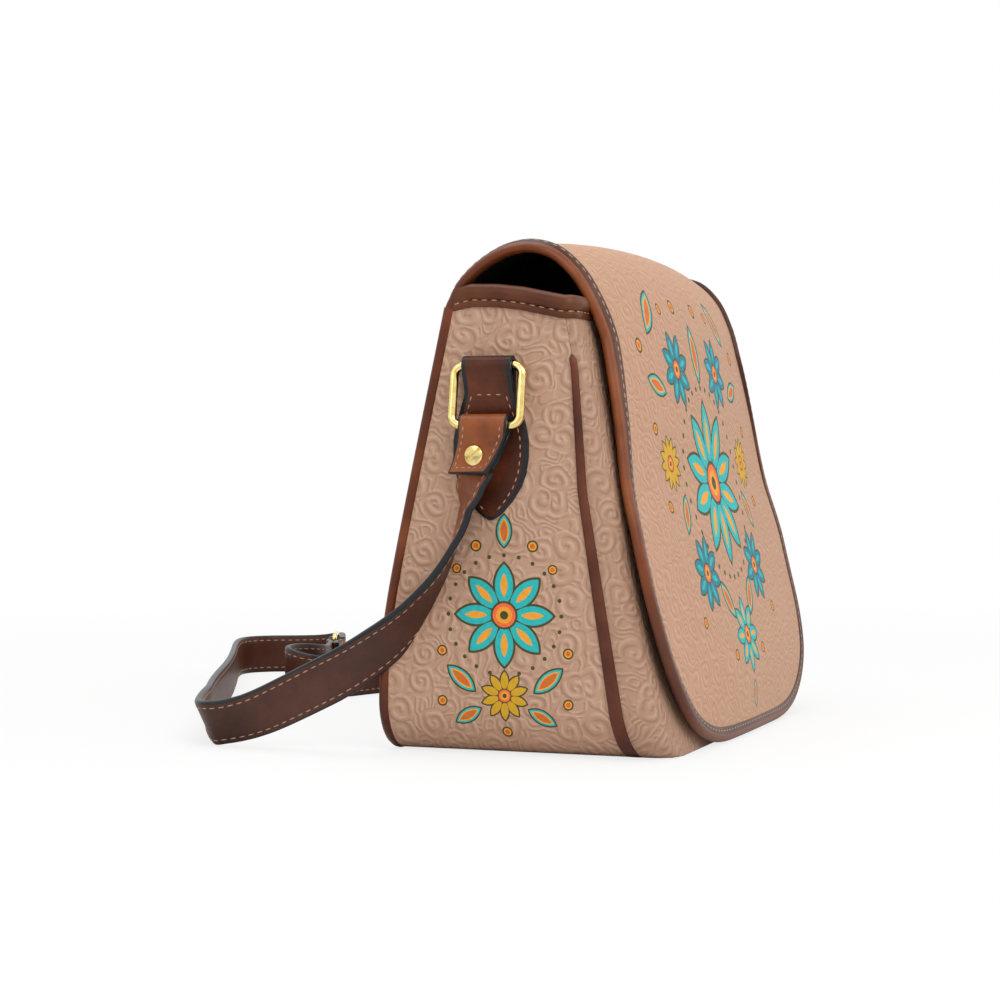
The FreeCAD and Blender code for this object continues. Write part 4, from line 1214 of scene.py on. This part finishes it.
def strap_frames(spots, side, leans):
    """Frames of the ribbon: upright on its edge, leaning outwards by the angles given along its length."""
    frames = []
    reach = 0
    for index, spot in enumerate(spots):
        if index:
            reach += (spot - spots[index - 1]).length
        ahead = (spots[min(index + 1, len(spots) - 1)] - spots[max(index - 1, 0)]).normalized()
        flat = Vector((ahead.y, -ahead.x, 0))
        thin = flat.normalized() if flat.length > 0.05 else Vector((1, 0, 0))
        wide = thin.cross(ahead).normalized()
        thin = ahead.cross(wide).normalized()
        lean = math.radians(np.interp(reach / MM, leans[0], leans[1]))
        across = wide * math.cos(lean) + thin * (side * math.sin(lean))
        frames.append((spot, across, thin * math.cos(lean) - wide * (side * math.sin(lean))))
    return frames


long_route = [
    (-141.12, 10.76, 126.1), (-141.2, 12.9, 119.5), (-141.4, 14.7, 112), (-141.2, 16.2, 105),
    (-141.05, 19.5, 96), (-141.05, 28, 77), (-141.05, 46, 54.5), (-141.05, 70, 37.3), (-141.05, 95, 24.8),
    (-141.05, 115, 15.4), (-142, 128, 11.8), (-144, 138.6, 10.4), (-131, 146.8, 10.6), (-98, 163, 11),
    (-44, 187.5, 11), (36, 220, 11), (108, 253, 11), (152, 274, 11), (177, 282, 11), (192, 272, 11),
    (198.5, 255, 11), (198, 238, 11.8), (192.46, 221.78, 14.7), (177.42, 216.34, 14.7),
]
short_route = [
    (141.12, 10.76, 126.1), (141.2, 12.9, 119.5), (141.4, 14.7, 112), (141.2, 16, 105),
    (141.05, 18.5, 96), (141.05, 27, 75), (141.05, 41, 55), (141.05, 58, 37), (141.05, 80, 21),
    (141.05, 102, 12), (141.05, 122, 11), (136, 138, 11), (123, 149, 11), (105, 157, 11), (88, 163, 11),
    (72, 168, 11), (57, 175, 12), (51, 186, 14.5), (58, 197, 17), (73, 198, 17.5), (86, 190.5, 16.2),
    (97.54, 190.22, 14.7), (112.59, 195.66, 14.7),
]
LINK = Vector((145, 206, 14.7)) * MM
LINK_WAY = Vector((-0.94, -0.34, 0)).normalized()
STRAIGHT = [0] * 6
leans = (
    [0, 3, 7, 14, 21, 27, 33, 52, 70, 91, 124, 164, 194, 244, 2000],
    [-25, -34, -43, -50.5, -56.5, -61.5, -69, -89, -110, -137, -165, -156, -156, -180, -180],
)
for name, hand, side, route, way in (
    ("strap_long", "left", -1, long_route, LINK_WAY),
    ("strap_short", "right", 1, short_route, -LINK_WAY),
):
    spots = strap_line(name, route)
    frames = strap_frames(spots, side, leans)
    strap = swept_roll(
        f"{name}_leather",
        frames,
        in_metres(strap_section),
        [strap_brown, paint, strap_outer],
        strap_finish[side],
    )
    seams = []
    for face in (-1, 1):
        for edge in (-1, 1):
            seams.append(
                [
                    (spot + wide * edge * 8.2 * MM + thin * face * 1.6 * MM, thin * face)
                    for spot, wide, thin in frames
                ]
            )
    stitches = sew(f"{name}_stitches", seams, 4.4 * MM, 1.5 * MM, 0.6 * MM)
    bpy.ops.object.select_all(action="DESELECT")
    stitches.select_set(True)
    strap.select_set(True)
    bpy.context.view_layer.objects.active = strap
    bpy.ops.object.join()
    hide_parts(name)
    bar = LINK - way * 10 * MM
    fold, fold_seam, _ = strap_fold(
        f"{name}_link_fold", bar, way, UP.cross(way), UP, 24 * MM, STRAIGHT, STRAIGHT, STRAIGHT, "bag"
    )
    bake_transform(strap)

# Camera, lamps and floor of the studio.
# The camera stands low and near the bag's left side, with a long lens.
camera_data = bpy.data.cameras.new("camera")
camera_data.lens = 82.9
camera_data.sensor_width = 36
camera = bpy.data.objects.new("camera", camera_data)
heading, pitch = math.radians(20.2), math.radians(-1.10)
camera.location = (-1.070, -0.342, 0.131)
camera.rotation_euler = (math.pi / 2 + pitch, 0, heading - math.pi / 2)
bpy.context.collection.objects.link(camera)
bpy.context.scene.camera = camera

for name, place, size, watts in (
    ("key", (-1.1, -1.0, 1.3), 1.2, 14),
    ("fill", (-1.3, 0.7, 0.8), 1.2, 2.5),
    ("front", (0.4, -1.6, 0.9), 1.2, 6),
    ("top", (0, 0.2, 1.6), 1.4, 11),
):
    lamp_data = bpy.data.lights.new(name, "AREA")
    lamp_data.shape = "DISK"
    lamp_data.size = size
    lamp_data.energy = watts
    lamp = bpy.data.objects.new(name, lamp_data)
    lamp.location = place
    lamp.rotation_euler = (Vector((0, 0, 0.1)) - Vector(place)).to_track_quat("-Z", "Y").to_euler()
    bpy.context.collection.objects.link(lamp)

world = bpy.data.worlds.new("studio")
world.use_nodes = True
bpy.context.scene.world = world
light_path = add_node(world.node_tree, "LightPath")
seen = add_node(
    world.node_tree,
    "Math",
    {0: light_path.outputs["Is Camera Ray"], 1: light_path.outputs["Is Glossy Ray"]},
    operation="MAXIMUM",
)
seen = add_node(
    world.node_tree,
    "Math",
    {0: seen.outputs[0], 1: light_path.outputs["Is Transmission Ray"]},
    operation="MAXIMUM",
)
ROOM_LIGHT, SEEN_LIGHT = 0.42, 1.0
strength = add_node(world.node_tree, "MapRange", {0: seen.outputs[0], 3: ROOM_LIGHT, 4: SEEN_LIGHT})
background = world.node_tree.nodes["Background"]
background.inputs["Color"].default_value = (1, 1, 1, 1)
world.node_tree.links.new(strength.outputs[0], background.inputs["Strength"])

bpy.ops.object.select_all(action="DESELECT")
bpy.ops.mesh.primitive_circle_add(vertices=64, radius=12, fill_type="NGON")
floor = bpy.context.object
floor.name = "studio_floor"
floor_material, floor_tree, floor_shader = new_material("white_paper_floor")
floor_shader.inputs["Base Color"].default_value = colour("#F4F4F4")
floor_shader.inputs["Roughness"].default_value = 0.9
floor_path = add_node(floor_tree, "LightPath")
glow = add_node(floor_tree, "Emission", {"Color": (1, 1, 1, 1), "Strength": 1})
floor_place = add_node(floor_tree, "TexCoord").outputs["Object"]
floor_reach = add_node(floor_tree, "VectorMath", {0: floor_place}, operation="LENGTH").outputs["Value"]
paleness = add_node(
    floor_tree, "MapRange", {0: floor_reach, 1: 0.3, 2: 1.0, 3: 0.78, 4: 1}, interpolation_type="SMOOTHSTEP"
)
blend = add_node(
    floor_tree,
    "Math",
    {0: floor_path.outputs["Is Camera Ray"], 1: paleness.outputs[0]},
    operation="MULTIPLY",
)
floor_mix = add_node(
    floor_tree, "MixShader", {0: blend.outputs[0], 1: floor_shader.outputs[0], 2: glow.outputs[0]}
)
floor_tree.links.new(floor_mix.outputs[0], floor_tree.nodes["Material Output"].inputs["Surface"])
floor.data.materials.append(floor_material)
floor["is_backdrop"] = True

bpy.context.scene.view_settings.view_transform = "Standard"
low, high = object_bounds()
